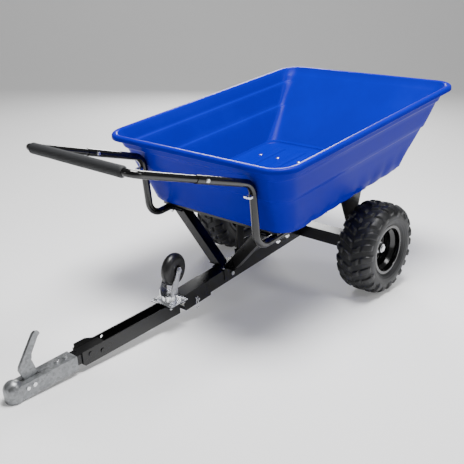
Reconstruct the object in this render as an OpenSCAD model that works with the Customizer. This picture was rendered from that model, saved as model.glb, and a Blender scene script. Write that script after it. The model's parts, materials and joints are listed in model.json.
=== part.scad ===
// Tow behind cart: a dumping poly tub on two wheels, with a push handle,
// a drawbar whose front section rolls over to bring a swivel caster down,
// and a ball coupler. Millimetres. The cart is drawn level, with its origin
// at the middle of the axle, +X forward, +Y to the cart's left and +Z up,
// and then tipped nose down until the coupler's lip rests on the ground.

/* [Wheels] */
// Outside diameter of a tyre
tyre_d = 410; // [380:1:440]
// Width of a tyre
tyre_w = 178; // [160:1:186]
// Distance between the middles of the two tyres
track = 846; // [830:1:900]
// Diameter over a rim's flanges
rim_d = 224; // [210:1:236]
// Diameter of a wheel spindle
spindle_d = 25; // [20:1:28]
// Outside diameter of a hub
hub_d = 58; // [52:1:64]
// Length of a hub
hub_l = 78; // [70:1:90]
// Thickness of a rim's sheet
rim_wall = 3; // [2.5:0.1:4]

/* [Tub] */
// Length over the tub's rim
tub_l = 1340; // [1200:1:1500]
// Width over the tub's rim
tub_w = 986; // [900:1:1100]
// Distance from the axle to the front of the rim
tub_front = 705; // [690:1:800]
// Height of the rim above the axle
rim_z = 600; // [560:1:680]
// Height of the tub's underside above the axle
floor_z = 272; // [256:1:300]
// Thickness of the tub's walls and floor
tub_wall = 5; // [4:0.5:7]
// Width of the rim's flange
lip_w = 24; // [18:1:30]
// Depth of the rim's skirt
lip_h = 22; // [16:1:30]
// Slope of the front wall, from floor to rim
front_slope = 108; // [60:1:140]
// Slope of the rear wall, from floor to rim
rear_slope = 310; // [200:1:340]
// Slope of each side wall, from floor to rim
side_slope = 86; // [50:1:110]
// Width of each ledge round the walls
ledge = 8; // [4:0.5:12]
// Number of raised ribs on the floor
rib_count = 5; // [3:2:7]

/* [Drawbar] */
// Width and height of the drawbar's square tube
bar_size = 62; // [58:1:66]
// Wall of the drawbar's square tube
bar_wall = 4; // [3:0.5:5]
// Distance from the axle to the front end of the drawbar's nose
nose_x = 822; // [780:1:860]
// Length of the doubler on the drawbar's nose
nose_l = 150; // [130:1:180]
// Outside diameter of the tongue's round spigot
spigot_d = 34; // [30:1:35]
// Length of the spigot inside the drawbar
spigot_l = 230; // [190:1:260]
// Gap between the drawbar's nose and the tongue
tongue_gap = 26; // [20:1:34]
// Length of the tongue's channel
tongue_l = 490; // [440:1:560]
// Width over the tongue's channel
tongue_w = 58; // [54:1:62]
// Height of the tongue's channel
tongue_h = 59; // [54:1:64]
// Thickness of the tongue's sheet
tongue_wall = 5; // [4:0.5:6]
// Angle by which the tongue rises from the drawbar, in degrees
tongue_rise = 3.4; // [2:0.1:5]
// Diameter of the spigot's neck, which the retaining pin passes under
neck_d = 16; // [14:1:18]
// Diameter of the retaining pin
pin_d = 10; // [8:1:11]

/* [Coupler] */
// Diameter of the tow ball that the coupler takes
ball_d = 50; // [50:0.8:50.8]
// Distance from the tongue's end to the back of the coupler
coupler_gap = 24; // [18:1:34]
// Length from the back of the coupler to the middle of its socket
coupler_l = 246; // [230:1:270]
// Width over the coupler's shank
shank_w = 60; // [58:1:64]
// Height of the coupler's shank
shank_h = 57; // [54:1:60]
// Height of the coupler's dome above the mouth of its socket
dome_h = 76; // [72:1:80]
// Wall of the coupler
coupler_wall = 4.5; // [4:0.5:6]

/* [Caster] */
// Diameter of the caster's wheel
caster_d = 135; // [115:1:150]
// Width of the caster's wheel
caster_w = 45; // [34:1:50]
// Distance from the swivel's axis to the caster's axle
caster_trail = 42; // [36:1:48]
// Height of the caster's axle above the caster's plate
caster_rise = 116; // [108:1:130]
// Length of the caster's plate along the tongue
plate_l = 96; // [90:1:104]
// Width of the caster's plate across the tongue
plate_w = 114; // [106:1:124]
// Turn of the parked caster about its swivel, in degrees
caster_turn = 10; // [-20:1:20]

/* [Handle and frame] */
// Outside diameter of the frame's tubes
frame_d = 32; // [28:1:36]
// Wall of the frame's tubes
frame_wall = 2; // [1.6:0.1:2.5]
// Distance of each frame tube from the middle of the cart
frame_y = 301; // [290:1:306]
// Gap between the standing legs and the tub's front wall
leg_clear = 1; // [0.5:0.5:6]
// Distance from the axle to the middle of the grip
grip_x = 1193; // [1100:1:1280]
// Height of the grip above the axle
grip_z = 728; // [680:1:780]
// Half of the width between the handle's arms at the grip
grip_half = 284; // [260:1:300]
// Diameter of the foam grip
grip_d = 42; // [38:1:46]
// Height of the bend between leg and arm
elbow_z = 510; // [490:1:530]

/* [Chassis] */
// Height of the dump pivot above the axle
pivot_z = 52; // [50:1:60]
// Diameter of the dump pivot's pins
pivot_d = 16; // [14:1:20]
// Distance of the front support struts from the axle
strut_x = 530; // [500:1:560]
// Distance from the middle of the cart to the top of a strut
strut_y = 238; // [180:1:240]
// Width of a strut's tube
strut_w = 46; // [40:1:52]

/* [Hidden] */
$fn = 64;
eps = 1;
touch = 0.3;            // clearance between bodies that pass close by
run = 0.05;             // radial clearance of a running shaft
bend_slim = 0.1;        // a bar is this much thinner in its bends
wheel_r = tyre_d / 2;

swivel_x = 28;          // from the tongue's end to the caster's swivel

// The roll axis lies as high in the nose as the caster's plate allows, which
// overhangs the tongue's end and slopes down with it.
bar_drop = 4;           // the drawbar hangs this far under the axle
nose_drop = 9;          // depth of the doubler under the drawbar
bar_low = -bar_size / 2 - bar_drop;
bar_top = bar_size / 2 - bar_drop;
tongue_x = nose_x + tongue_gap;
tongue_z = -bar_drop - 10;
roll_z = tongue_z + tongue_h / 2 * cos(tongue_rise) - (plate_l / 2 - swivel_x) * sin(tongue_rise)
    - touch - spigot_d / 2;
pin_z = roll_z - neck_d / 2 - pin_d / 2 - 0.5;
coupler_x = tongue_l + coupler_gap;
ball_x = coupler_x + coupler_l;
shank_low = -tongue_h / 2 - 0.5;
dome_r = ball_d / 2 + 0.2 + 8.3;
ball_z = shank_low + dome_h - dome_r;
lip_r = ball_d / 2 + 0.2 + coupler_wall + 1.5;

// A point of the tongue's own frame, as [x, z] of the level cart.
function on_tongue(x, z) = [
    tongue_x + x * cos(tongue_rise) - z * sin(tongue_rise),
    tongue_z + x * sin(tongue_rise) + z * cos(tongue_rise)
];
rest_point = on_tongue(ball_x + lip_r, shank_low);
rest_pitch = asin(wheel_r / norm(rest_point)) + atan2(rest_point[1], rest_point[0]);

// The cart's ends once it is tipped, which centre it on the origin.
rim_rear = tub_front - tub_l;
dome_point = on_tongue(ball_x, ball_z);
tipped_front = dome_point[0] * cos(rest_pitch) + dome_point[1] * sin(rest_pitch) + dome_r;
tipped_rear = rim_rear * cos(rest_pitch) + (rim_z - lip_h) * sin(rest_pitch);
cart_x = -(tipped_front + tipped_rear) / 2;

// Tub levels.
tub_h = rim_z - floor_z;
step_low = floor_z + 0.495 * tub_h;
step_high = floor_z + 0.808 * tub_h;
corner_low = 82;
corner_rim = 104;
floor_front = tub_front - lip_w - front_slope;
floor_rear = rim_rear + lip_w + rear_slope;
floor_half = tub_w / 2 - lip_w - side_slope;
rib_w = 44;
rib_h = 7;
rib_pitch = 2 * (floor_half - 125) / (rib_count - 1);
bolt_d = 10;
wing_bolt_d = 8;
clip_d = 3.4;

// Outer face of the tub's front wall on its middle tier, at height z.
function front_wall(z) = floor_front + (front_slope - 2 * ledge) * (z - floor_z) / tub_h + ledge;

// Frame levels.
tube_z = floor_z - frame_d / 2 - 15;
bearer_low = tube_z + frame_d / 2;
bearer_h = floor_z - bearer_low;
bearer_wall = 4;
front_bearer_x = 500;
front_bearer_l = 110;
middle_bearer_x = 200;
rear_bearer_x = -110;
bearer_l = 46;
frame_rear = -330;
frame_bolt_dx = 30;
wing_z = elbow_z - 44;
leg_x = front_wall(elbow_z - 20) + frame_d / 2 - 3 + leg_clear;
wing_reach = leg_x - front_wall(wing_z - tub_wall) + tub_wall + 3;
arm_dir = unit([grip_x - leg_x, grip_half - frame_y, grip_z - elbow_z]);
elbow = [leg_x, frame_y, elbow_z];
sleeve_end = elbow + arm_dir * 300;
handle_d = frame_d - 2 * frame_wall - 2 * touch;
joint_bolt_at = elbow + arm_dir * 256;

// Chassis levels.
beam_half = track / 2 - 88;
lug_t = 6;
boss_l = 30;
boss_d = 40;
latch_x = 430;
latch_pin_z = bar_top + 26;
latch_pin_d = 10;
striker_z = bearer_low - 16;
striker_d = 12;
latch_t = 10;
latch_open = 6.5;       // degrees between the stored hook and its striker
saddle_t = 4;
pad_t = 6;
pin_x = nose_x - 64;

// Wheel levels, measured along the axle from the wheel's own middle.
hub_in = -54;
hub_out = hub_in + hub_l;
disc_at = 6;
seat_r = rim_d / 2 - 11;
bead_half = 68;
bearing_w = 15;
bearing_d = hub_d - 10;

// Caster levels, in the tongue's frame.
mount_t = 4;
plate_z = tongue_h / 2 + mount_t;
plate_t = 4;
race_h = 22;
crown_z = plate_z + plate_t + race_h + touch;
crown_t = 4;
caster_axle_z = plate_z + plate_t + caster_rise;
caster_axle_d = 10;
leg_t = 4;
leg_gap = 3;
caster_bolt_dx = plate_l / 2 - 13;
caster_bolt_dy = plate_w / 2 - 12;

// Coupler levels, in the tongue's frame.
socket_r = ball_d / 2 + 0.2;
insert_half = min(shank_w / 2 - coupler_wall, tongue_w / 2 - tongue_wall) - touch;
insert_wall = 4;
insert_h = 38;
tongue_bolt_places = [[tongue_l - 36, 8], [tongue_l - 90, -4]];
shank_top = shank_low + shank_h;
lever_x = ball_x - 66;
lever_z = shank_top - 17;
lever_pin_d = 10;
lever_t = 12;
latch_pad_x = ball_x - 40;
latch_pad_z = shank_low + 16;

steel = "#1b1b1d";
zinc = "#c9ccd0";
blue = "#1c37d8";
rubber = "#222326";

// ---- helpers ----

function unit(v) = v / norm(v);
function across(w) = unit(abs(w[2]) < 0.9 ? cross(w, [0, 0, 1]) : cross(w, [1, 0, 0]));
function moved(pts, e) = [
    for (i = [0 : len(pts) - 1])
        i == 0 ? pts[0] - unit(pts[1] - pts[0]) * e
        : i == len(pts) - 1 ? pts[i] + unit(pts[i] - pts[i - 1]) * e
        : pts[i]
];
function heading(pts, i) = unit(pts[i + 1] - pts[i]);
function setback(pts, i, r) =
    (i == 0 || i == len(pts) - 1) ? 0
    : r * tan(acos(heading(pts, i - 1) * heading(pts, i)) / 2);

module cart() {
    translate([cart_x, 0, wheel_r]) rotate([0, rest_pitch, 0]) children();
}

module tongue() {
    cart() translate([tongue_x, 0, tongue_z]) rotate([0, -tongue_rise, 0]) children();
}

module caster() {
    tongue() translate([swivel_x, 0, 0]) rotate([0, 0, caster_turn]) children();
}

module both() {
    children();
    mirror([0, 1, 0]) children();
}

module side(s) {
    mirror([0, s < 0 ? 1 : 0, 0]) children();
}

// Puts its children at p with their axes along x, y and z.
module axes(p, x, y, z) {
    multmatrix([
        [x[0], y[0], z[0], p[0]],
        [x[1], y[1], z[1], p[1]],
        [x[2], y[2], z[2], p[2]],
        [0, 0, 0, 1]
    ]) children();
}

// A round bar from p to q.
module rod(p, q, d) {
    w = unit(q - p);
    a = across(w);
    axes(p, a, cross(w, a), w) cylinder(h = norm(q - p), d = d);
}

// A round bar through the points pts, bent to radius r at each corner. The
// bends are drawn slightly thinner, and the straights run a little into them.
module pipe(pts, r, d) {
    n = len(pts) - 1;
    for (i = [0 : n - 1]) {
        u = heading(pts, i);
        from = setback(pts, i, r) - (i == 0 ? 0 : d / 40);
        to = setback(pts, i + 1, r) - (i == n - 1 ? 0 : d / 40);
        rod(pts[i] + u * from, pts[i + 1] - u * to, d);
    }
    for (i = [1 : n - 1]) {
        u = heading(pts, i - 1);
        v = heading(pts, i);
        inward = unit(v - u * (u * v));
        start = pts[i] - u * setback(pts, i, r);
        axes(start + inward * r, -inward, u, cross(-inward, u))
            rotate_extrude(angle = acos(u * v)) translate([r, 0]) circle(d = d - bend_slim);
    }
}

module tube(pts, r, d, wall) {
    difference() {
        pipe(pts, r, d);
        pipe(moved(pts, eps), r, d - 2 * wall);
    }
}

// A cylinder along Y from y0 to y1.
module y_rod(x, z, y0, y1, d) {
    translate([x, y0, z]) rotate([-90, 0, 0]) cylinder(h = y1 - y0, d = d);
}

// A block from corner a to corner b.
module block(a, b) {
    translate(a) cube(b - a);
}

// A hexagon head or nut along Z.
module hex(af, h) {
    cylinder(h = h, d = af / cos(30), $fn = 6);
}

// A rounded rectangle from x0 to x1 and half_w to each side.
module round_rect(x0, x1, half_w, r) {
    translate([x0 + r, -half_w]) square([x1 - x0 - 2 * r, 2 * half_w]);
    translate([x0, -half_w + r]) square([x1 - x0, 2 * half_w - 2 * r]);
    for (x = [x0 + r, x1 - r])
        for (y = [-half_w + r, half_w - r])
            translate([x, y]) circle(r = r);
}

// ---- tub ----

// Outline of the tub's wall at height z, past k ledges and drawn in by inset.
module wall_outline(z, k, inset) {
    part = (z - floor_z) / tub_h;
    f = (front_slope - 2 * ledge) * part + k * ledge;
    b = (rear_slope - 2 * ledge) * part + k * ledge;
    s = (side_slope - 2 * ledge) * part + k * ledge;
    r = corner_low + (corner_rim - lip_w - corner_low) * part;
    translate([0, 0, z])
        linear_extrude(0.1)
            round_rect(floor_rear - b + inset, floor_front + f - inset,
                       floor_half + s - inset, r - inset);
}

// The three stacked tiers of the tub, as one solid.
module tiers(inset, lift, top) {
    levels = [floor_z, step_low, step_high, rim_z];
    for (k = [0 : 2])
        translate([0, 0, lift])
            hull() {
                wall_outline(levels[k], k, inset, $fn = 40);
                translate([0, 0, k == 2 ? top - 0.1 : -0.1]) wall_outline(levels[k + 1], k, inset, $fn = 40);
            }
}

module bolt_holes(places, d, z0, z1) {
    for (p = places)
        translate([p[0], p[1], z0]) cylinder(h = z1 - z0, d = d);
}

floor_bolt_places = [
    for (x = [front_bearer_x, middle_bearer_x, rear_bearer_x])
        for (y = x == front_bearer_x ? [-0.5, 0.5] : [-1.5, -0.5, 0.5, 1.5])
            [x, y * rib_pitch]
];
frame_bolt_places = [
    for (s = [-1, 1])
        for (x = [front_bearer_x - frame_bolt_dx, front_bearer_x + frame_bolt_dx,
                  middle_bearer_x, rear_bearer_x])
            [x, s * frame_y]
];

module tub() color(blue) cart() {
    difference() {
        union() {
            tiers(0, 0, 0);
            translate([0, 0, rim_z - lip_h])
                linear_extrude(lip_h) round_rect(rim_rear, tub_front, tub_w / 2, corner_rim);
        }
        translate([0, 0, rim_z - lip_h - eps])
            linear_extrude(lip_h + eps - tub_wall)
                difference() {
                    round_rect(rim_rear + tub_wall, tub_front - tub_wall,
                               tub_w / 2 - tub_wall, corner_rim - tub_wall);
                    round_rect(rim_rear + lip_w, tub_front - lip_w,
                               tub_w / 2 - lip_w, corner_rim - lip_w);
                }
        tiers(tub_wall, tub_wall, eps);
        bolt_holes(floor_bolt_places, bolt_d + 2 * touch, floor_z - eps, floor_z + tub_wall + eps);
        bolt_holes(frame_bolt_places, bolt_d + 2 * touch, floor_z - eps, floor_z + tub_wall + eps);
        both() wing_bolt_hole(3 * frame_d);
    }
    for (i = [0 : rib_count - 1])
        translate([0, (i - (rib_count - 1) / 2) * rib_pitch, floor_z + tub_wall - 0.5])
            linear_extrude(rib_h + 0.5)
                round_rect(floor_rear + 55, floor_front - 60, rib_w / 2, rib_w / 2 - 1);
}

// ---- tub frame and handle ----

module bearer(x, l) color(steel) cart() {
    y = frame_y + frame_d / 2 + 4;
    difference() {
        block([x - l / 2, -y, bearer_low], [x + l / 2, y, floor_z]);
        block([x - l / 2 + bearer_wall, -y - eps, bearer_low + bearer_wall],
              [x + l / 2 - bearer_wall, y + eps, floor_z - bearer_wall]);
        bolt_holes(floor_bolt_places, bolt_d + 2 * touch, bearer_low - eps, floor_z + eps);
        bolt_holes(frame_bolt_places, bolt_d + 2 * touch, bearer_low - eps, floor_z + eps);
    }
}

module frame_tube(s) color(steel) cart() side(s) {
    difference() {
        tube([[frame_rear, frame_y, tube_z], [leg_x, frame_y, tube_z], elbow, sleeve_end],
             62, frame_d, frame_wall, $fn = 48);
        bolt_holes(frame_bolt_places, bolt_d + 2 * touch, tube_z - frame_d, tube_z + frame_d);
        joint_bolt_hole();
        wing_bolt_hole(2 * frame_d);
    }
}

module wing_bolt_hole(l) {
    translate([leg_x, frame_y, wing_z]) rotate([0, 90, 0])
        cylinder(h = l, d = wing_bolt_d + 2 * touch, center = true);
}

// The joint bolt stands square to the arm, in the vertical plane.
module at_joint() {
    sideways = across(arm_dir);
    axes(joint_bolt_at, arm_dir, cross(sideways, arm_dir), sideways) children();
}

module joint_bolt_hole() {
    at_joint() cylinder(h = 2 * frame_d, d = wing_bolt_d + 2 * touch, center = true);
}

module handle_bar() color(steel) cart() {
    difference() {
        tube([joint_bolt_at - arm_dir * 40, [grip_x, grip_half, grip_z],
              [grip_x, -grip_half, grip_z], mirrored(joint_bolt_at - arm_dir * 40)],
             34, handle_d, frame_wall, $fn = 40);
        both() joint_bolt_hole();
    }
}

function mirrored(p) = [p[0], -p[1], p[2]];

module foam_grip() color("#2b2c30") cart() {
    l = 2 * (grip_half - 35);
    difference() {
        y_rod(grip_x, grip_z, -l / 2, l / 2, grip_d);
        y_rod(grip_x, grip_z, -l / 2 - eps, l / 2 + eps, handle_d);
    }
}

module joint_bolts() color(zinc) cart() both() at_joint() {
    reach = frame_d / 2;
    cylinder(h = 2 * reach + 12, d = wing_bolt_d, center = true);
    translate([0, 0, reach]) hex(13, 5.5);
    translate([0, 0, -reach - 6]) hex(13, 6);
}

module wing_bolts() color(zinc) cart() both() translate([leg_x, frame_y, wing_z]) rotate([0, 90, 0]) {
    // The shaft runs from its round head inside the tub to the wing nut.
    translate([0, 0, -wing_reach - 2]) cylinder(h = wing_reach + frame_d / 2 + 24, d = wing_bolt_d);
    translate([0, 0, -wing_reach - 5]) cylinder(h = 5, d = 16);
    translate([0, 0, frame_d / 2]) cylinder(h = 10, d = 16);
    difference() {
        translate([-4, -16, frame_d / 2 + 4]) cube([8, 32, 16]);
        translate([0, 0, frame_d / 2 - 2]) cylinder(h = 6, d = 18);
    }
}

module floor_bolts() color(zinc) cart() {
    for (p = floor_bolt_places)
        translate([p[0], p[1], floor_z + tub_wall]) through_bolt(bearer_h + tub_wall);
}

module frame_bolts() color(zinc) cart() {
    for (p = frame_bolt_places)
        translate([p[0], p[1], floor_z + tub_wall]) through_bolt(bearer_h + tub_wall + frame_d);
}

// A domed bolt hanging from z = 0 through a stack of the given grip.
module through_bolt(grip) {
    rotate_extrude() polygon([[0, -grip - 14], [bolt_d / 2, -grip - 14], [bolt_d / 2, 0],
                              [12, 0], [11, 2.5], [7, 5], [0, 6]]);
    difference() {
        translate([0, 0, -grip - 9]) hex(17, 8.7);
        translate([0, 0, -grip - 10]) cylinder(h = 12, d = bolt_d - 2);
    }
}

module pivot_bracket(s) color(steel) cart() side(s) translate([0, frame_y, 0]) {
    difference() {
        union() {
            rotate([90, 0, 0]) linear_extrude(8, center = true) {
                translate([0, pivot_z]) circle(d = boss_d);
                polygon([[-boss_d / 2, pivot_z], [boss_d / 2, pivot_z],
                         [80, tube_z - 12], [80, tube_z], [-88, tube_z], [-88, tube_z - 12]]);
            }
            y_rod(0, pivot_z, -boss_l / 2, boss_l / 2, boss_d - 8);
        }
        rotate([0, 90, 0]) translate([-tube_z, 0, -200]) cylinder(h = 400, d = frame_d);
        y_rod(0, pivot_z, -boss_l, boss_l, pivot_d + 2 * run);
    }
}

module pivot_pins() color(zinc) cart() both() {
    reach = boss_l / 2 + touch + lug_t;
    y_rod(0, pivot_z, frame_y - reach - 8, frame_y + reach, pivot_d);
    translate([0, frame_y + reach, pivot_z]) rotate([-90, 0, 0]) hex(22, 7);
    difference() {
        translate([0, frame_y - reach - 8, pivot_z]) rotate([-90, 0, 0]) hex(22, 8);
        y_rod(0, pivot_z, frame_y - reach - 9, frame_y - reach + 1, pivot_d - 2);
    }
}

// ---- chassis ----

module axle_beam() color(steel) cart() {
    difference() {
        block([-bar_size / 2, -beam_half, bar_low], [bar_size / 2, beam_half, bar_top]);
        block([-bar_size / 2 + bar_wall, -beam_half + 6, bar_low + bar_wall],
              [bar_size / 2 - bar_wall, beam_half - 6, bar_top - bar_wall]);
        block([bar_size / 2 - bar_wall - eps, -10, bar_low + 20],
              [bar_size / 2 + eps, 10, bar_top - 20]);
    }
}

module drawbar_beam() color(steel) cart() {
    difference() {
        x0 = bar_size / 2;
        block([x0, -bar_size / 2, bar_low], [nose_x, bar_size / 2, bar_top]);
        block([x0 - eps, -bar_size / 2 + bar_wall, bar_low + bar_wall],
              [nose_x + eps, bar_size / 2 - bar_wall, bar_top - bar_wall]);
        nose_pin_hole();
        y_rod(strut_x, -bar_drop, -bar_size, bar_size, bolt_d + 2 * touch);
    }
}

module nose_pin_hole() {
    y_rod(pin_x, pin_z, -bar_size, bar_size, pin_d + 2 * touch);
}

// A channel wrapped round the nose from below.
module drawbar_nose() color(steel) cart() {
    half = bar_size / 2;
    t = 4;
    difference() {
        block([nose_x - nose_l, -half - t, bar_low - nose_drop], [nose_x, half + t, bar_top]);
        block([nose_x - nose_l - eps, -half, bar_low], [nose_x + eps, half, bar_top + eps]);
        block([nose_x - nose_l - eps, -half + t, bar_low - nose_drop + t], [nose_x + eps, half - t, bar_top + eps]);
        y_rod(pin_x, pin_z, -bar_size, bar_size, pin_d + 2 * run);
    }
}

module nose_bushes() color("#d8d8d0") cart() {
    half = bar_size / 2 - bar_wall;
    for (x = [nose_x - 24, nose_x - spigot_l + 6])
        difference() {
            block([x, -half, bar_low + bar_wall], [x + 20, half, bar_top - bar_wall]);
            translate([x - eps, 0, roll_z]) rotate([0, 90, 0]) cylinder(h = 30, d = spigot_d + 2 * run);
        }
}

module spindles() color(zinc) cart() both() {
    y0 = track / 2 + hub_in;
    y_rod(0, 0, beam_half, y0 - touch, spindle_d + 14);
    y_rod(0, 0, beam_half, y0 + hub_l + 22, spindle_d);
}

module spindle_washers() color(zinc) cart() both() difference() {
    y0 = track / 2 + hub_out + touch;
    y_rod(0, 0, y0, y0 + 3, 44);
    y_rod(0, 0, y0 - eps, y0 + 4, spindle_d);
}

module spindle_nuts() color(zinc) cart() both() difference() {
    y0 = track / 2 + hub_out + touch + 3;
    translate([0, y0, 0]) rotate([-90, 0, 0]) hex(36, 14);
    y_rod(0, 0, y0 - eps, y0 + 15, spindle_d);
}

module pivot_lugs() color(steel) cart() both() {
    for (y = [frame_y - boss_l / 2 - touch - lug_t, frame_y + boss_l / 2 + touch])
        difference() {
            translate([0, y + lug_t, 0]) rotate([90, 0, 0]) linear_extrude(lug_t) {
                translate([0, pivot_z]) circle(d = 34);
                translate([-24, bar_top]) square([48, 4]);
                polygon([[-24, bar_top + 4], [24, bar_top + 4], [17, pivot_z], [-17, pivot_z]]);
            }
            y_rod(0, pivot_z, y - eps, y + lug_t + eps, pivot_d + 2 * run);
        }
}

strut_low = [strut_x, 40, bar_top + saddle_t];
strut_high = [strut_x, strut_y, bearer_low - pad_t];

// A square tube that leans out from the saddle to the front bearer.
module strut(s) color(steel) cart() side(s) {
    cap = strut_w / 2 + 17;
    strut_tube();
    block([strut_x - cap, strut_y - cap, strut_high[2] - 4], [strut_x + cap, strut_y + cap, strut_high[2]]);
}

module strut_tube() difference() {
    lean = atan2(strut_y - 40, strut_high[2] - strut_low[2]);
    translate(strut_low) rotate([-lean, 0, 0]) difference() {
        translate([-strut_w / 2, -strut_w / 2, -100]) cube([strut_w, strut_w, 600]);
        translate([-strut_w / 2 + 3, -strut_w / 2 + 3, -101]) cube([strut_w - 6, strut_w - 6, 602]);
    }
    block([strut_x - 100, -600, -200], [strut_x + 100, 600, strut_low[2]]);
    block([strut_x - 100, -600, strut_high[2] - 2], [strut_x + 100, 600, 800]);
    block([strut_x - 100, -600, -200], [strut_x + 100, 0.5, 800]);
}

module strut_saddle() color(steel) cart() {
    x0 = strut_x - 48;
    x1 = strut_x + 48;
    half = bar_size / 2;
    difference() {
        union() {
            block([x0, -half - saddle_t, bar_low + 16], [x1, half + saddle_t, bar_top + saddle_t]);
            both() block([strut_x - 26, half, bar_top], [strut_x + 26, half + 42, bar_top + saddle_t]);
        }
        block([x0 - eps, -half, bar_low - eps], [x1 + eps, half, bar_top]);
        y_rod(strut_x, -bar_drop, -bar_size, bar_size, bolt_d + 2 * touch);
    }
}

module saddle_bolt() color(zinc) cart() {
    reach = bar_size / 2 + saddle_t;
    y_rod(strut_x, -bar_drop, -reach - 14, reach, bolt_d);
    translate([strut_x, reach, -bar_drop]) rotate([-90, 0, 0]) hex(17, 6.5);
    difference() {
        translate([strut_x, -reach - 10, -bar_drop]) rotate([-90, 0, 0]) hex(17, 9.7);
        y_rod(strut_x, -bar_drop, -reach - 11, -reach + 1, bolt_d - 2);
    }
}

module rest_pads() color(rubber) cart() both()
    block([strut_x - 34, strut_y - 34, strut_high[2]], [strut_x + 34, strut_y + 34, bearer_low - touch]);

// ---- dump latch ----

module latch_bracket() color(steel) cart() difference() {
    union() {
        block([latch_x - 34, -26, bar_top], [latch_x + 34, 26, bar_top + 4]);
        both() block([latch_x - 22, latch_t / 2 + 3, bar_top + 4], [latch_x + 22, latch_t / 2 + 8, latch_pin_z + 14]);
    }
    y_rod(latch_x, latch_pin_z, -40, 40, latch_pin_d);
}

module latch_pivot() color(zinc) cart() {
    reach = latch_t / 2 + 8;
    y_rod(latch_x, latch_pin_z, -reach - 2, reach + 2, latch_pin_d);
    both() difference() {
        y_rod(latch_x, latch_pin_z, reach, reach + 5, 18);
        y_rod(latch_x, latch_pin_z, reach - eps, reach + 3, latch_pin_d);
    }
}

// The hook is drawn swung back by latch_open, just clear of its striker.
module latch_hook() color(steel) cart()
    translate([latch_x, 0, latch_pin_z]) rotate([0, -latch_open, 0])
        translate([-latch_x, 0, -latch_pin_z]) upright_hook();

module upright_hook() difference() {
    nose = striker_z + striker_d / 2 + touch;
    rotate([90, 0, 0]) linear_extrude(latch_t, center = true) {
        translate([latch_x, latch_pin_z]) circle(d = 40);
        polygon([[latch_x - 19, latch_pin_z], [latch_x + 19, latch_pin_z],
                 [latch_x + 20, striker_z - 18], [latch_x - 20, striker_z - 18]]);
        polygon([[latch_x - 20, striker_z - 18], [latch_x + 20, striker_z - 18],
                 [latch_x + 20, striker_z - striker_d / 2 - 6], [latch_x - 6, striker_z - striker_d / 2 - 6],
                 [latch_x - 6, nose], [latch_x + 10, nose], [latch_x + 2, nose + 9], [latch_x - 20, nose + 9]]);
        translate([latch_x - 62, latch_pin_z + 40]) square([46, 9]);
    }
    y_rod(latch_x, latch_pin_z, -latch_t, latch_t, latch_pin_d + 2 * run);
}

module latch_striker() color(steel) cart() {
    y = latch_t / 2 + 9;
    x = latch_x + 6;
    difference() {
        union() {
            both() block([x - 16, y, striker_z - 12], [front_bearer_x - front_bearer_l / 2, y + 5, bearer_low]);
            both() block([front_bearer_x - front_bearer_l / 2, y, striker_z + 4],
                         [front_bearer_x - front_bearer_l / 2 + 30, y + 5, bearer_low]);
        }
        y_rod(x, striker_z, -40, 40, striker_d - 2);
    }
    y_rod(x, striker_z, -y, y, striker_d);
    y_rod(x, striker_z, -y - 7, y + 7, striker_d - 2);
}

// ---- wheels ----

module wheel(s) {
    cart() side(s) translate([0, track / 2, 0]) rotate([-90, 0, 0]) children();
}

module tyre(s) color(rubber) wheel(s) {
    half = tyre_w / 2;
    rotate_extrude($fn = 128) difference() {
        tyre_section(wheel_r, half, seat_r, bead_half);
        tyre_section(wheel_r - 13, half - 8, seat_r - eps, bead_half - 12);
        for (y = [bead_half, -half - eps])
            translate([seat_r - eps, y]) square([rim_d / 2 + touch - seat_r + eps, half - bead_half + eps]);
    }
}

// One tyre's outline: flat across the tread, round at the shoulders.
module tyre_section(r, half, seat, bead) {
    shoulder = 38;
    translate([seat, -bead]) square([shoulder, 2 * bead]);
    translate([seat + 12, -half + 12]) square([r - shoulder - seat - 12, 2 * half - 24]);
    for (y = [-1, 1]) {
        translate([r - shoulder, y * (half - shoulder)]) circle(r = shoulder);
        translate([seat + 28, y * (half - 28)]) circle(r = 28);
        translate([seat + 28, y > 0 ? 0 : -half]) square([r - shoulder - seat - 28, half]);
    }
    translate([r - shoulder, -half + shoulder]) square([shoulder, 2 * half - 2 * shoulder]);
}

module rim(s) color(steel) wheel(s) rotate_extrude($fn = 128) {
    t = rim_wall;
    drop_r = seat_r - 16;
    flange_r = rim_d / 2;
    half = [[drop_r, 30], [seat_r, 44], [seat_r, bead_half], [flange_r, bead_half],
            [flange_r, bead_half + t], [seat_r - t, bead_half + t], [seat_r - t, 44 + t], [drop_r - t, 30 + t]];
    // Well, bead seats and flanges.
    polygon(concat(half, [for (i = [7 : -1 : 0]) [half[i][0], -half[i][1]]]));
    // The disc steps outwards to the hub.
    polygon([[drop_r - t + 1, disc_at - 14], [drop_r - t + 1, disc_at - 14 + t], [66, disc_at - 14 + t],
             [58, disc_at], [44, disc_at], [40, disc_at + 8], [hub_d / 2, disc_at + 8],
             [hub_d / 2, disc_at + 8 - t], [38, disc_at + 8 - t], [42, disc_at - t],
             [56, disc_at - t], [64, disc_at - 14]]);
}

module hub(s) color(steel) wheel(s) difference() {
    translate([0, 0, hub_in]) cylinder(h = hub_l, d = hub_d);
    translate([0, 0, hub_in - eps]) cylinder(h = hub_l + 2 * eps, d = spindle_d + 8);
    for (z = [hub_in - eps, hub_out - bearing_w])
        translate([0, 0, z]) cylinder(h = bearing_w + eps, d = bearing_d);
}

module bearings(s) color(zinc) wheel(s)
    for (z = [hub_in, hub_out - bearing_w])
        translate([0, 0, z]) difference() {
            cylinder(h = bearing_w, d = bearing_d);
            translate([0, 0, -eps]) cylinder(h = bearing_w + 2 * eps, d = spindle_d + 2 * run);
        }

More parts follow.
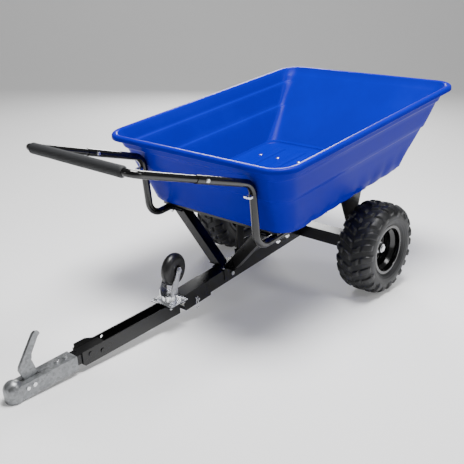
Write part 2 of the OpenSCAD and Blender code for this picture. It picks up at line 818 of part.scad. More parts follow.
// The valve stands out of the rim's well, on the outer side.
module valve(s) color(rubber) wheel(s) {
    r = seat_r - 16 - rim_wall;
    rotate([0, 0, 35]) translate([0, -r + 6, 20]) {
        cylinder(h = 34, d = 8);
        translate([0, 0, 26]) cylinder(h = 9, d = 10);
        rotate([90, 0, 0]) cylinder(h = 5.8, d = 10);
    }
}

// ---- tongue ----

module tongue_channel() color(steel) tongue() difference() {
    half = tongue_w / 2;
    ear_h = 14;
    union() {
        block([0, -half, -tongue_h / 2], [tongue_l, half, tongue_h / 2]);
        // The ear that carries the chain bolt, on the right wall.
        translate([0, -half + tongue_wall, 0]) rotate([90, 0, 0]) linear_extrude(tongue_wall)
            polygon([[tongue_l - 92, 0], [tongue_l - 92, tongue_h / 2], [tongue_l - 56, tongue_h / 2 + ear_h],
                     [tongue_l - 6, tongue_h / 2 + ear_h], [tongue_l - 6, 0]]);
    }
    block([tongue_wall, -half + tongue_wall, -tongue_h / 2 + tongue_wall],
          [tongue_l + eps, half - tongue_wall, tongue_h / 2 + ear_h + eps]);
    for (x = [tongue_l - 130, tongue_l - 72])
        y_rod(x, tongue_h / 2 - 14, -half - eps, 0, 13);
    for (p = tongue_bolt_places)
        y_rod(p[0], p[1], -half - eps, half + eps, bolt_d + 2 * touch);
    // Each wall's lower front corner is cut back.
    translate([tongue_l, 0, -tongue_h / 2]) rotate([0, 45, 0]) cube([12, 3 * half, 12], center = true);
}

// The round spigot runs in the drawbar's bushes, and its neck lets the
// tongue roll past the retaining pin.
module tongue_spigot() color(steel) difference() {
    cart() translate([nose_x - spigot_l, 0, roll_z]) rotate([0, 90, 0]) difference() {
        cylinder(h = spigot_l + tongue_gap + 12, d = spigot_d);
        translate([0, 0, spigot_l - nose_x + pin_x - 9]) difference() {
            cylinder(h = 18, d = spigot_d + 2);
            translate([0, 0, -eps]) cylinder(h = 18 + 2 * eps, d = neck_d);
        }
    }
    tongue() block([0, -60, -60], [60, 60, 60]);
}

module caster_mount() color(steel) tongue() difference() {
    block([swivel_x - plate_l / 2, -plate_w / 2, tongue_h / 2],
          [swivel_x + plate_l / 2, plate_w / 2, tongue_h / 2 + mount_t]);
    caster_bolt_holes();
    translate([swivel_x, 0, 0]) cylinder(h = 100, d = 24);
}

module caster_bolt_holes() {
    for (x = [-1, 1])
        for (y = [-1, 1])
            translate([swivel_x + x * caster_bolt_dx, y * caster_bolt_dy, 0])
                cylinder(h = 80, d = wing_bolt_d + 2 * touch);
}

module coupler_insert() color(steel) tongue() difference() {
    z0 = shank_top - coupler_wall - insert_h;
    inner = insert_half - insert_wall;
    block([tongue_l - 110, -insert_half, z0], [coupler_x + 90, insert_half, z0 + insert_h]);
    block([tongue_l - 111, -inner, z0 + insert_wall], [coupler_x + 91, inner, z0 + insert_h - insert_wall]);
    for (p = tongue_bolt_places)
        y_rod(p[0], p[1], -60, 60, bolt_d + 2 * touch);
    for (x = [30, 66])
        translate([coupler_x + x, 0, z0 - eps]) cylinder(h = insert_h + 2 * eps, d = bolt_d + 2 * touch);
}

// ---- coupler ----

module coupler_body() color("#8f9296") tongue() difference() {
    top = shank_top;
    w = coupler_wall;
    union() {
        difference() {
            block([coupler_x, -shank_w / 2, shank_low], [ball_x - 12, shank_w / 2, top]);
            block([coupler_x - eps, -shank_w / 2 + w, shank_low - eps],
                  [ball_x - socket_r - 3, shank_w / 2 - w, top - w]);
        }
        translate([ball_x, 0, ball_z]) sphere(r = dome_r, $fn = 96);
        translate([ball_x, 0, shank_low]) cylinder(h = ball_z - shank_low, r = dome_r, $fn = 96);
    }
    translate([ball_x, 0, ball_z]) sphere(r = socket_r, $fn = 96);
    translate([ball_x, 0, shank_low - eps]) cylinder(h = ball_z - shank_low + eps, r = socket_r, $fn = 96);
    block([coupler_x, -60, shank_low - 60], [ball_x + 60, 60, shank_low]);
    // A chamfered skirt down to the lip's radius.
    translate([ball_x, 0, shank_low]) rotate_extrude($fn = 96)
        polygon([[lip_r, -eps], [dome_r + 3, -eps], [dome_r + 3, 5], [dome_r, 5], [lip_r, 0]]);
    // The slots for the lever above and the latch's pad behind the socket.
    block([lever_x - 38, -lever_t / 2 - touch, top - w - eps], [lever_x + 32, lever_t / 2 + touch, top + eps]);
    block([ball_x - 46, -14 - touch, shank_low - eps], [ball_x - 10, 14 + touch, ball_z + 14]);
    y_rod(lever_x, lever_z, -60, 60, lever_pin_d);
    y_rod(latch_pad_x, latch_pad_z + 22, -60, 60, 8);
    for (x = [30, 66])
        translate([coupler_x + x, 0, 0]) cylinder(h = 60, d = bolt_d + 2 * touch);
}

module coupler_bolts() color(zinc) tongue() {
    z1 = shank_top;
    grip = coupler_wall + insert_h;
    for (x = [30, 66])
        translate([coupler_x + x, 0, z1]) {
            hex(16, 6);
            translate([0, 0, -grip - 12]) cylinder(h = grip + 12, d = bolt_d);
            translate([0, 0, -grip]) mirror([0, 0, 1]) difference() {
                hex(16, 8);
                translate([0, 0, -eps]) cylinder(h = 10, d = bolt_d - 2);
            }
        }
}

module tongue_bolts() color(steel) tongue() {
    reach = tongue_w / 2;
    for (p = tongue_bolt_places) {
        y_rod(p[0], p[1], -reach - 10, reach + 2, bolt_d);
        y_rod(p[0], p[1], reach, reach + 3, 18);
        difference() {
            translate([p[0], -reach - 8, p[1]]) rotate([-90, 0, 0]) hex(16, 8);
            y_rod(p[0], p[1], -reach - 9, -reach + 1, bolt_d - 2);
        }
    }
}

module lever_pivot() color(zinc) tongue() {
    for (p = [[lever_x, lever_z, lever_pin_d], [latch_pad_x, latch_pad_z + 22, 8]]) {
        y_rod(p[0], p[1], -shank_w / 2 - 3, shank_w / 2 + 3, p[2]);
        both() difference() {
            y_rod(p[0], p[1], shank_w / 2, shank_w / 2 + 4, p[2] + 6);
            y_rod(p[0], p[1], shank_w / 2 - eps, shank_w / 2 + 3, p[2]);
        }
    }
}

// The lever stands up and leans back, with finger notches on its rear edge.
module coupler_lever() color("#a4a7ab") tongue() difference() {
    base = shank_top + touch;
    translate([0, lever_t / 2, 0]) rotate([90, 0, 0]) linear_extrude(lever_t) difference() {
        union() {
            translate([lever_x, lever_z]) circle(r = 11);
            translate([lever_x, base]) polygon([
                [-10, lever_z - base], [10, lever_z - base], [22, 4], [35, 40], [31, 54], [2, 96],
                [-38, 152], [-48, 157], [-62, 152], [-65, 143], [-54, 134], [-40, 112], [-22, 84],
                [-18, 60], [-24, 40], [-32, 7], [-18, 4]]);
        }
        for (i = [0 : 2])
            translate([lever_x - 24 - i * 10, base + 62 + i * 21]) circle(r = 7);
    }
    y_rod(lever_x, lever_z, -20, 20, lever_pin_d + 2 * run);
}

// The latch's pad hangs behind the socket and swings in under the ball.
module coupler_latch() color("#6d7074") tongue() difference() {
    w = 26;
    pin_at = latch_pad_z + 22;
    union() {
        y_rod(latch_pad_x, pin_at, -w / 2, w / 2, 17);
        translate([0, w / 2, 0]) rotate([90, 0, 0]) linear_extrude(w)
            polygon([[latch_pad_x - 7, pin_at], [latch_pad_x + 7, pin_at],
                     [latch_pad_x + 11, latch_pad_z - 8], [latch_pad_x - 1, latch_pad_z - 11]]);
    }
    y_rod(latch_pad_x, pin_at, -20, 20, 8 + 2 * run);
}

// ---- hitch pin ----

module hitch_pin() color(zinc) cart() difference() {
    half = bar_size / 2 + 4;
    union() {
        y_rod(pin_x, pin_z, -half - 3, half + 16, pin_d);
        difference() {
            y_rod(pin_x, pin_z, -half - 9, -half - touch, pin_d + 8);
            y_rod(pin_x, pin_z, -half - 3, -half + eps, pin_d);
        }
    }
    translate([pin_x, half + 9, pin_z - 20]) cylinder(h = 40, d = clip_d + 2 * run);
}

// One leg goes down through the pin and the other wraps round it.
module r_clip() color(zinc) cart() {
    y = bar_size / 2 + 4 + 9;
    w = 15;
    top = pin_z + 12;
    low = pin_z - 40;
    wrap_x = pin_x + pin_d / 2 + clip_d / 2 + 1;
    pipe([[pin_x, y, top], [pin_x, y, low], [pin_x + w, y, low], [pin_x + w, y, pin_z - 22],
          [wrap_x, y, pin_z - 8], [wrap_x, y, pin_z + 4], [wrap_x + 4, y, top]],
         7, clip_d, $fn = 24);
}

// ---- caster ----

module caster_plate() color(zinc) tongue() difference() {
    union() {
        block([swivel_x - plate_l / 2, -plate_w / 2, plate_z],
              [swivel_x + plate_l / 2, plate_w / 2, plate_z + plate_t]);
        translate([swivel_x, 0, plate_z]) cylinder(h = plate_t + race_h, d1 = 66, d2 = 56);
    }
    caster_bolt_holes();
    translate([swivel_x, 0, 0]) cylinder(h = 100, d = 12);
}

module caster_bolts() color(zinc) tongue() {
    z0 = plate_z + plate_t;
    stack = plate_t + mount_t;
    for (x = [-1, 1])
        for (y = [-1, 1])
            translate([swivel_x + x * caster_bolt_dx, y * caster_bolt_dy, z0]) {
                hex(13, 5.5);
                translate([0, 0, -stack - 10]) cylinder(h = stack + 10, d = wing_bolt_d);
                translate([0, 0, -stack]) mirror([0, 0, 1]) difference() {
                    hex(13, 7);
                    translate([0, 0, -eps]) cylinder(h = 9, d = wing_bolt_d - 2);
                }
            }
    // The kingpin holds the fork to the plate.
    translate([swivel_x, 0, plate_z - 5]) {
        cylinder(h = crown_z + crown_t - plate_z + 5 + touch + 2, d = 12);
        difference() {
            cylinder(h = 5, d = 20);
            translate([0, 0, -eps]) cylinder(h = 6, d = 10);
        }
    }
    translate([swivel_x, 0, crown_z + crown_t + touch]) difference() {
        cylinder(h = 6, d = 22);
        translate([0, 0, -eps]) cylinder(h = 3, d = 10);
    }
}

module caster_fork() color(zinc) caster() difference() {
    inner = caster_w / 2 + leg_gap;
    union() {
        translate([0, 0, crown_z]) cylinder(h = crown_t, d = 2 * inner + 2 * leg_t + 8);
        both() translate([0, inner + leg_t, 0]) rotate([90, 0, 0]) linear_extrude(leg_t) {
            translate([-caster_trail, caster_axle_z]) circle(r = 14);
            polygon([[-caster_trail - 14, caster_axle_z], [-caster_trail + 14, caster_axle_z],
                     [22, crown_z + 26], [22, crown_z], [-22, crown_z], [-24, crown_z + 22]]);
        }
    }
    translate([0, 0, crown_z - eps]) cylinder(h = crown_t + 2 * eps, d = 12 + 2 * run);
    y_rod(-caster_trail, caster_axle_z, -60, 60, caster_axle_d);
}

module caster_axle() color(zinc) caster() {
    reach = caster_w / 2 + leg_gap + leg_t;
    y_rod(-caster_trail, caster_axle_z, -reach - 10, reach, caster_axle_d);
    translate([-caster_trail, reach, caster_axle_z]) rotate([-90, 0, 0]) hex(16, 6);
    difference() {
        translate([-caster_trail, -reach - 8, caster_axle_z]) rotate([-90, 0, 0]) hex(16, 8);
        y_rod(-caster_trail, caster_axle_z, -reach - 9, -reach + 1, caster_axle_d - 2);
    }
}

module caster_spin() {
    caster() translate([-caster_trail, 0, caster_axle_z]) rotate([-90, 0, 0]) children();
}

module caster_tyre() color(rubber) caster_spin() rotate_extrude($fn = 96) {
    r = caster_d / 2;
    half = caster_w / 2;
    difference() {
        union() {
            translate([r - half, 0]) circle(r = half);
            translate([r - 2 * half, -half]) square([half, 2 * half]);
        }
        translate([0, -half - eps]) square([r - 2 * half + 2, 2 * half + 2 * eps]);
    }
}

module caster_hub() color("#3a3b3e") caster_spin() rotate_extrude($fn = 96) {
    r = caster_d / 2 - caster_w + 2;
    half = caster_w / 2;
    bore = caster_axle_d / 2 + run;
    translate([bore, -half - leg_gap + touch]) square([7, 2 * (half + leg_gap - touch)]);
    translate([bore, -5]) square([r - bore, 10]);
    translate([r - 4, -half]) square([4, 2 * half]);
}

// ---- nodes ----

axle_beam();
drawbar_beam();
drawbar_nose();
nose_bushes();
strut_saddle();
strut(1);  // strut_left
strut(-1);  // strut_right
saddle_bolt();
rest_pads();
pivot_lugs();
spindles();
spindle_washers();
spindle_nuts();
latch_bracket();
latch_pivot();
tyre(1);  // tyre_left
rim(1);  // rim_left
hub(1);  // hub_left
bearings(1);  // bearings_left
valve(1);  // valve_left
tyre(-1);  // tyre_right
rim(-1);  // rim_right
hub(-1);  // hub_right
bearings(-1);  // bearings_right
valve(-1);  // valve_right
tub();
frame_tube(1);  // frame_tube_left
frame_tube(-1);  // frame_tube_right
bearer(front_bearer_x, front_bearer_l);  // bearer_front
bearer(middle_bearer_x, bearer_l);  // bearer_middle
bearer(rear_bearer_x, bearer_l);  // bearer_rear
pivot_bracket(1);  // pivot_bracket_left
pivot_bracket(-1);  // pivot_bracket_right
pivot_pins();
floor_bolts();
frame_bolts();
handle_bar();
foam_grip();
joint_bolts();
wing_bolts();
latch_striker();
latch_hook();
tongue_channel();
tongue_spigot();
caster_mount();
coupler_insert();
coupler_body();
coupler_bolts();
tongue_bolts();
lever_pivot();
hitch_pin();
r_clip();
caster_plate();
caster_bolts();
caster_fork();
caster_axle();
caster_tyre();
caster_hub();
coupler_lever();
coupler_latch();
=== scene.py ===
"""Looks of a tow behind cart: moulded tub, knobbly tyres, painted frame, galvanised coupler."""

import json
import logging
import math
from dataclasses import dataclass, field
from enum import Enum
from typing import Any, Sequence

import bmesh
import bpy
import numpy as np
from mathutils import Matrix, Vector

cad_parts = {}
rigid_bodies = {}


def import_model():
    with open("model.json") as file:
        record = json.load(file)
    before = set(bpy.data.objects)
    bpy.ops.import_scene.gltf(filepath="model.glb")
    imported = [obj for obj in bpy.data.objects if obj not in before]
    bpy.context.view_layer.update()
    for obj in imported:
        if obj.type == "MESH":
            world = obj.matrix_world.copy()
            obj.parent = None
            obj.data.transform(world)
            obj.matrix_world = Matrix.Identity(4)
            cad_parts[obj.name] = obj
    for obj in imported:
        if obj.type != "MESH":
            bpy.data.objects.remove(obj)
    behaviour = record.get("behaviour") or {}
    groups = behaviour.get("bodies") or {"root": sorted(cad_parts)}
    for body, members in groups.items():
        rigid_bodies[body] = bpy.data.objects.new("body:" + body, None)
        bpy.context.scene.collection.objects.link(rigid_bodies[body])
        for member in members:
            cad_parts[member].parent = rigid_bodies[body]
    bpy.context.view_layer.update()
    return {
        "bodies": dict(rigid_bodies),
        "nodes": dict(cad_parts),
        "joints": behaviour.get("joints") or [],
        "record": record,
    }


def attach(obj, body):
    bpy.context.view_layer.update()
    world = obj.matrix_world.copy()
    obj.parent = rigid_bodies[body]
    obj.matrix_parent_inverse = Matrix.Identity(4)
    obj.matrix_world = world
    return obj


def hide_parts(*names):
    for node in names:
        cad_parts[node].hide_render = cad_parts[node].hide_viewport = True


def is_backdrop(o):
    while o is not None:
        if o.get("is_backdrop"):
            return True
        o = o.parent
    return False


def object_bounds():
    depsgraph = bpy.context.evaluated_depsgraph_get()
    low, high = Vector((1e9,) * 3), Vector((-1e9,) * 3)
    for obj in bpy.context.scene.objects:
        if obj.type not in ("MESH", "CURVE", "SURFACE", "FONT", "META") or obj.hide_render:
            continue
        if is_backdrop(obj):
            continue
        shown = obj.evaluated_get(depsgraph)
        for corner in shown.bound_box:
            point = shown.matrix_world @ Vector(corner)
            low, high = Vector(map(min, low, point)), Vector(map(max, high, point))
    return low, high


log = logging.getLogger("cart")

Colour = tuple[float, float, float]

MM = 0.001
SAME_POINT = 1e-6
SAME_CAD_POINT = 2e-6
NO_EDGE = 1e-7
FLAT_DEGREES = 0.6
EDGE_DEGREES = 34


# ---- shader building ----


class Sock:
    """A shader socket that takes part in Python arithmetic."""

    def __init__(self, shader: "Shader", socket: Any) -> None:
        """Wraps an output socket of a shader."""
        self.shader = shader
        self.socket = socket

    def _math(self, op: str, *args: Any) -> "Sock":
        """Adds a Math node of operation op on args, numbers or sockets."""
        return self.shader.node("ShaderNodeMath", {"operation": op}, dict(enumerate(args)))

    def __add__(self, other: Any) -> "Sock":
        """Sum of two values."""
        return self._math("ADD", self, other)

    def __radd__(self, other: Any) -> "Sock":
        """Sum with a number on the left."""
        return self._math("ADD", other, self)

    def __sub__(self, other: Any) -> "Sock":
        """Difference of two values."""
        return self._math("SUBTRACT", self, other)

    def __rsub__(self, other: Any) -> "Sock":
        """Difference with a number on the left."""
        return self._math("SUBTRACT", other, self)

    def __mul__(self, other: Any) -> "Sock":
        """Product of two values."""
        return self._math("MULTIPLY", self, other)

    def __rmul__(self, other: Any) -> "Sock":
        """Product with a number on the left."""
        return self._math("MULTIPLY", other, self)

    def clamped(self) -> "Sock":
        """Holds the value between 0 and 1."""
        return self.shader.node("ShaderNodeClamp", {}, {0: self})


class Shader:
    """One material's node tree, with a Principled shader at its end."""

    def __init__(self, name: str) -> None:
        """Makes an empty material.

        Args:
            name: its name.
        """
        self.material = bpy.data.materials.new(name)
        self.material.use_nodes = True
        self.tree = self.material.node_tree
        self.tree.nodes.clear()
        self.out = self.tree.nodes.new("ShaderNodeOutputMaterial")
        self.bsdf = self.tree.nodes.new("ShaderNodeBsdfPrincipled")
        self.tree.links.new(self.bsdf.outputs[0], self.out.inputs[0])
        self.place = self.node("ShaderNodeTexCoord", {}, {}, "Object")

    def node(self, kind: str, settings: dict[str, Any], values: dict[Any, Any],
             output: Any = 0) -> Sock:
        """Adds any node.

        Args:
            kind: the node's type.
            settings: attributes, set first.
            values: number, colour or Sock for each input, by name or index.
            output: which output to return.
        Returns:
            The chosen output, wrapped.
        """
        made = self.tree.nodes.new(kind)
        for key, value in settings.items():
            setattr(made, key, value)
        for key, value in values.items():
            if isinstance(value, Sock):
                self.tree.links.new(value.socket, made.inputs[key])
            else:
                made.inputs[key].default_value = value
        return Sock(self, made.outputs[output])

    def noise(self, scale: float, detail: float = 3.0, rough: float = 0.5,
              stretch: Sequence[float] = (1, 1, 1)) -> Sock:
        """Fractal noise on Object coordinates.

        Args:
            scale: how fine it is.
            detail: its octaves.
            rough: the share that each octave keeps.
            stretch: scale along each axis.
        Returns:
            The noise, about 0 to 1.
        """
        at = self.node("ShaderNodeMapping", {}, {"Vector": self.place, "Scale": tuple(stretch)})
        values = {"Vector": at, "Scale": scale, "Detail": detail, "Roughness": rough}
        return self.node("ShaderNodeTexNoise", {}, values, "Fac")

    def cells(self, scale: float, output: str = "Distance") -> Sock:
        """Voronoi cells on Object coordinates.

        Args:
            scale: how fine they are.
            output: Distance or Color.
        Returns:
            The chosen output.
        """
        values = {"Vector": self.place, "Scale": scale}
        return self.node("ShaderNodeTexVoronoi", {"feature": "F1"}, values, output)

    def blend(self, mask: Any, low: Colour, high: Colour) -> Sock:
        """Mixes two colours.

        Args:
            mask: 0 gives low and 1 gives high.
            low: the first colour.
            high: the second colour.
        Returns:
            The mixed colour.
        """
        return self.node("ShaderNodeMix", {"data_type": "RGBA"},
                         {0: mask, 6: (*low, 1.0), 7: (*high, 1.0)}, 2)

    def bump(self, height: Sock, distance: float, strength: float) -> None:
        """Bends the normal by a height.

        Args:
            height: the height, in units of distance.
            distance: the height of 1, in metres.
            strength: share of the effect.
        """
        values = {"Strength": strength, "Distance": distance, "Height": height}
        self.set("Normal", self.node("ShaderNodeBump", {}, values))

    def set(self, socket: str, value: Any) -> None:
        """Sets or links one socket of the shader.

        Args:
            socket: the socket's name.
            value: a constant, or a Sock to link.
        """
        if isinstance(value, Sock):
            self.tree.links.new(value.socket, self.bsdf.inputs[socket])
        else:
            self.bsdf.inputs[socket].default_value = value


def sway(noise: Sock, spread: float) -> Sock:
    """Noise moved to lie about 0 and scaled: its distance from a half, times the spread."""
    return (noise - 0.5) * spread


def patches(noise: Sock, level: float, contrast: float) -> Sock:
    """Noise above a level, times a contrast, held between 0 and 1."""
    return ((noise - level) * contrast).clamped()


# ---- finishes ----


@dataclass(frozen=True)
class MouldedPlastic:
    """Rotation-moulded polyethylene with a faint pebble and rubbed patches."""

    name: str
    colour: Colour
    rubbed: Colour
    roughness: float
    shine: float = 0.2
    cloud_scale: float = 5.0
    pebble_scale: float = 30.0
    grain_scale: float = 420.0
    relief: float = 0.0004

    def make(self) -> Any:
        """Builds the material.

        Returns:
            The new material.
        """
        s = Shader(self.name)
        cloud = s.noise(self.cloud_scale, 4.0, 0.6)
        fine = s.noise(self.grain_scale, 2.0)
        s.set("Base Color", s.blend(patches(cloud, 0.42, 2.2), self.colour, self.rubbed))
        s.set("Roughness", (self.roughness + sway(cloud, 0.16) + sway(fine, 0.08)).clamped())
        s.set("Specular IOR Level", self.shine)
        s.bump(fine * 0.5 + s.noise(self.pebble_scale) * 0.5, self.relief, 0.5)
        return s.material


@dataclass(frozen=True)
class Paint:
    """Baked paint on steel with orange peel and small dust marks."""

    name: str
    colour: Colour
    roughness: float
    coat: float
    cloud_scale: float = 9.0
    speck_scale: float = 260.0
    peel_scale: float = 190.0
    peel: float = 0.00018
    dust_gain: float = 1.5
    dust_lift: float = 0.006

    def make(self) -> Any:
        """Builds the material.

        Returns:
            The new material.
        """
        s = Shader(self.name)
        cloud = s.noise(self.cloud_scale, 4.0)
        specks = (s.noise(self.speck_scale, 2.0) - 0.62).clamped() * 3.0
        light = tuple(c * self.dust_gain + self.dust_lift for c in self.colour)
        s.set("Base Color", s.blend((cloud * 0.4 + specks).clamped(), self.colour, light))
        s.set("Specular IOR Level", 0.35)
        s.set("Roughness", (self.roughness + sway(cloud, 0.18) + specks * 0.2).clamped())
        s.set("Coat Weight", self.coat)
        s.set("Coat Roughness", 0.12)
        s.bump(s.noise(self.peel_scale, 2.0), self.peel, 0.6)
        return s.material


@dataclass(frozen=True)
class PlatedSteel:
    """Bright zinc plate with fine brushing and slightly cloudy passivation."""

    name: str
    colour: Colour = (0.78, 0.79, 0.81)
    cloudy: Colour = (0.60, 0.61, 0.62)
    roughness: float = 0.27
    cloud_scale: float = 38.0
    brush_scale: float = 130.0
    brush_stretch: tuple[float, float, float] = (1, 1, 0.12)
    relief: float = 0.00006

    def make(self) -> Any:
        """Builds the material.

        Returns:
            The new material.
        """
        s = Shader(self.name)
        cloud = s.noise(self.cloud_scale, 3.0)
        streak = s.noise(self.brush_scale, 2.0, 0.6, self.brush_stretch)
        s.set("Base Color", s.blend(patches(cloud, 0.4, 2.0), self.colour, self.cloudy))
        s.set("Metallic", 1.0)
        s.set("Roughness", (self.roughness + sway(streak, 0.22) + sway(cloud, 0.14)).clamped())
        s.bump(streak, self.relief, 0.5)
        return s.material


@dataclass(frozen=True)
class Galvanised:
    """Hot-dip zinc with crystal spangle and dull grey patches."""

    name: str
    dark: Colour = (0.15, 0.155, 0.16)
    light: Colour = (0.34, 0.35, 0.36)
    roughness: float = 0.36
    spangle_scale: float = 110.0
    cloud_scale: float = 26.0
    pit_scale: float = 150.0
    relief: float = 0.0003

    def make(self) -> Any:
        """Builds the material.

        Returns:
            The new material.
        """
        s = Shader(self.name)
        spangle = s.cells(self.spangle_scale, "Color")
        crystal = s.node("ShaderNodeSeparateColor", {}, {0: spangle}, 0)
        cloud = s.noise(self.cloud_scale, 4.0, 0.6)
        mask = (crystal * 0.55 + cloud * 0.45).clamped()
        s.set("Base Color", s.blend(mask, self.dark, self.light))
        s.set("Metallic", 0.85)
        s.set("Roughness", (self.roughness + crystal * 0.12 + sway(cloud, 0.25)).clamped())
        s.bump(s.noise(self.pit_scale, 3.0) * 0.7 + crystal * 0.3, self.relief, 0.6)
        return s.material


@dataclass(frozen=True)
class Rubber:
    """Rubber with dusty bloom in soft clouds and a fine grain."""

    name: str
    colour: Colour
    dust: Colour
    roughness: float
    cloud_scale: float = 14.0
    grain_scale: float = 500.0
    relief: float = 0.0002

    def make(self) -> Any:
        """Builds the material.

        Returns:
            The new material.
        """
        s = Shader(self.name)
        cloud = s.noise(self.cloud_scale, 5.0, 0.6)
        fine = s.noise(self.grain_scale, 2.0)
        s.set("Base Color", s.blend(patches(cloud, 0.35, 1.8), self.colour, self.dust))
        s.set("Roughness", (self.roughness + sway(cloud, 0.2) + sway(fine, 0.1)).clamped())
        s.bump(fine, self.relief, 0.7)
        return s.material


@dataclass(frozen=True)
class Foam:
    """Closed-cell foam: tiny cells and a soft dusty face."""

    name: str
    colour: Colour = (0.004, 0.0045, 0.005)
    dust: Colour = (0.024, 0.025, 0.028)
    roughness: float = 0.72
    cell_scale: float = 620.0
    cloud_scale: float = 30.0
    relief: float = 0.0007

    def make(self) -> Any:
        """Builds the material.

        Returns:
            The new material.
        """
        s = Shader(self.name)
        cell = s.cells(self.cell_scale)
        cloud = s.noise(self.cloud_scale, 3.0)
        s.set("Base Color", s.blend((cell * 0.7 + cloud * 0.4).clamped(), self.colour, self.dust))
        s.set("Roughness", (self.roughness + sway(cloud, 0.2)).clamped())
        s.bump(cell, self.relief, 0.8)
        return s.material


class Finish(Enum):
    """Every finish on the cart, by the record's material slot."""

    TUB = "blue_poly"
    SATIN = "black_paint"
    GLOSS = "gloss_black"
    ZINC = "zinc"
    GALV = "galvanised"
    TYRE = "tyre"
    RUBBER = "rubber"
    FOAM = "foam"
    NYLON = "nylon"
    HUB = "wheel_plastic"


RECIPES: dict[Finish, Any] = {
    Finish.TUB: MouldedPlastic("tub blue", (0.0003, 0.0020, 0.33), (0.0006, 0.0035, 0.39),
                               0.33, 0.06),
    Finish.SATIN: Paint("satin black paint", (0.0012, 0.0012, 0.0014), 0.3, 0.15),
    Finish.GLOSS: Paint("gloss black paint", (0.001, 0.001, 0.0012), 0.2, 0.5),
    Finish.ZINC: PlatedSteel("zinc plate"),
    Finish.GALV: Galvanised("galvanised steel"),
    Finish.TYRE: Rubber("tyre rubber", (0.003, 0.0033, 0.004), (0.011, 0.012, 0.015), 0.5),
    Finish.RUBBER: Rubber("black rubber", (0.002, 0.002, 0.0024), (0.008, 0.008, 0.009), 0.4),
    Finish.FOAM: Foam("grip foam"),
    Finish.NYLON: MouldedPlastic("bush nylon", (0.72, 0.72, 0.68), (0.80, 0.80, 0.76), 0.45),
    Finish.HUB: MouldedPlastic("wheel plastic", (0.015, 0.015, 0.017), (0.03, 0.03, 0.033), 0.4),
}


class Paintbox:
    """Makes each finish once and hands it out."""

    def __init__(self) -> None:
        """Starts with no finish made."""
        self.made: dict[Finish, Any] = {}

    def get(self, finish: Finish) -> Any:
        """Finds or makes a material.

        Args:
            finish: the finish wanted.
        Returns:
            Its material.
        """
        if finish not in self.made:
            self.made[finish] = RECIPES[finish].make()
        return self.made[finish]


# ---- places ----


@dataclass
class Place:
    """A right-handed frame: an origin and three axes."""

    origin: np.ndarray
    x: np.ndarray
    y: np.ndarray
    z: np.ndarray

    def put(self, points: np.ndarray) -> np.ndarray:
        """Carries points to the world: the origin plus each coordinate times its axis.

        Args:
            points: array (..., 3) in this frame.
        Returns:
            The same points in the world.
        """
        x, y, z = points[..., :1], points[..., 1:2], points[..., 2:3]
        return self.origin + x * self.x + y * self.y + z * self.z


class Layout:
    """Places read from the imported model's joints."""

    def __init__(self, frame: dict[str, Any]) -> None:
        """Finds the wheels' middles and the cart's own frame, tipped with its drawbar.
        """
        joints = {j["name"]: j for j in frame["joints"]}
        self.wheels = [np.array(joints[f"wheel_{s}_spin"]["pos_m"], float)
                       for s in ("left", "right")]
        roll = np.array(joints["tongue_roll"]["axis"], float)
        forward = roll / np.linalg.norm(roll)
        side = np.array([0.0, 1.0, 0.0])
        axle = (self.wheels[0] + self.wheels[1]) / 2
        self.cart = Place(axle, forward, side, np.cross(forward, side))


# ---- surfaces ----


def grid_mesh(name: str, points: np.ndarray, wrap_u: bool, wrap_v: bool) -> Any:
    """Makes a mesh of quads from a grid: each point joins its neighbours along u and v.

    Args:
        name: the mesh's name.
        points: array (u, v, 3) in metres.
        wrap_u: whether the last row joins the first.
        wrap_v: whether the last column joins the first.
    Returns:
        The new mesh.
    """
    nu, nv = points.shape[:2]
    ui = np.arange(nu if wrap_u else nu - 1)
    vi = np.arange(nv if wrap_v else nv - 1)
    a, b = np.meshgrid(ui, vi, indexing="ij")
    a2, b2 = (a + 1) % nu, (b + 1) % nv
    quads = np.stack([a * nv + b, a2 * nv + b, a2 * nv + b2, a * nv + b2], -1).reshape(-1, 4)
    mesh = bpy.data.meshes.new(name)
    mesh.vertices.add(nu * nv)
    mesh.vertices.foreach_set("co", points.reshape(-1).astype(np.float32))
    mesh.loops.add(quads.size)
    mesh.loops.foreach_set("vertex_index", quads.reshape(-1).astype(np.int32))
    mesh.polygons.add(len(quads))
    mesh.polygons.foreach_set("loop_start", np.arange(0, quads.size, 4, dtype=np.int32))
    mesh.update(calc_edges=True)
    return mesh


def close_ends(mesh: Any) -> None:
    """Closes each open ring of a mesh with one face.

    Args:
        mesh: the mesh to change.
    """
    work = bmesh.new()
    work.from_mesh(mesh)
    edges = [e for e in work.edges if e.is_boundary]
    bmesh.ops.holes_fill(work, edges=edges, sides=0)
    work.to_mesh(mesh)
    work.free()


def tidy_mesh(mesh: Any) -> None:
    """Merges doubled points and turns every face outwards.

    Args:
        mesh: the mesh to change.
    """
    work = bmesh.new()
    work.from_mesh(mesh)
    bmesh.ops.remove_doubles(work, verts=work.verts, dist=SAME_POINT)
    bmesh.ops.dissolve_degenerate(work, edges=work.edges, dist=NO_EDGE)
    bmesh.ops.recalc_face_normals(work, faces=work.faces)
    work.to_mesh(mesh)
    work.free()
    mesh.update()


def add_piece(name: str, mesh: Any, material: Any, smooth_angle: float) -> Any:
    """Puts a mesh into the scene.

    Args:
        name: the piece's name.
        mesh: its mesh, already in the world's place.
        material: its finish.
        smooth_angle: the sharpest angle between faces that shades smooth, in degrees.
    Returns:
        The new object.
    """
    piece = bpy.data.objects.new(name, mesh)
    bpy.context.scene.collection.objects.link(piece)
    mesh.materials.clear()
    mesh.materials.append(material)
    mesh.polygons.foreach_set("use_smooth", np.ones(len(mesh.polygons), bool))
    mesh.set_sharp_from_angle(angle=math.radians(smooth_angle))
    return piece


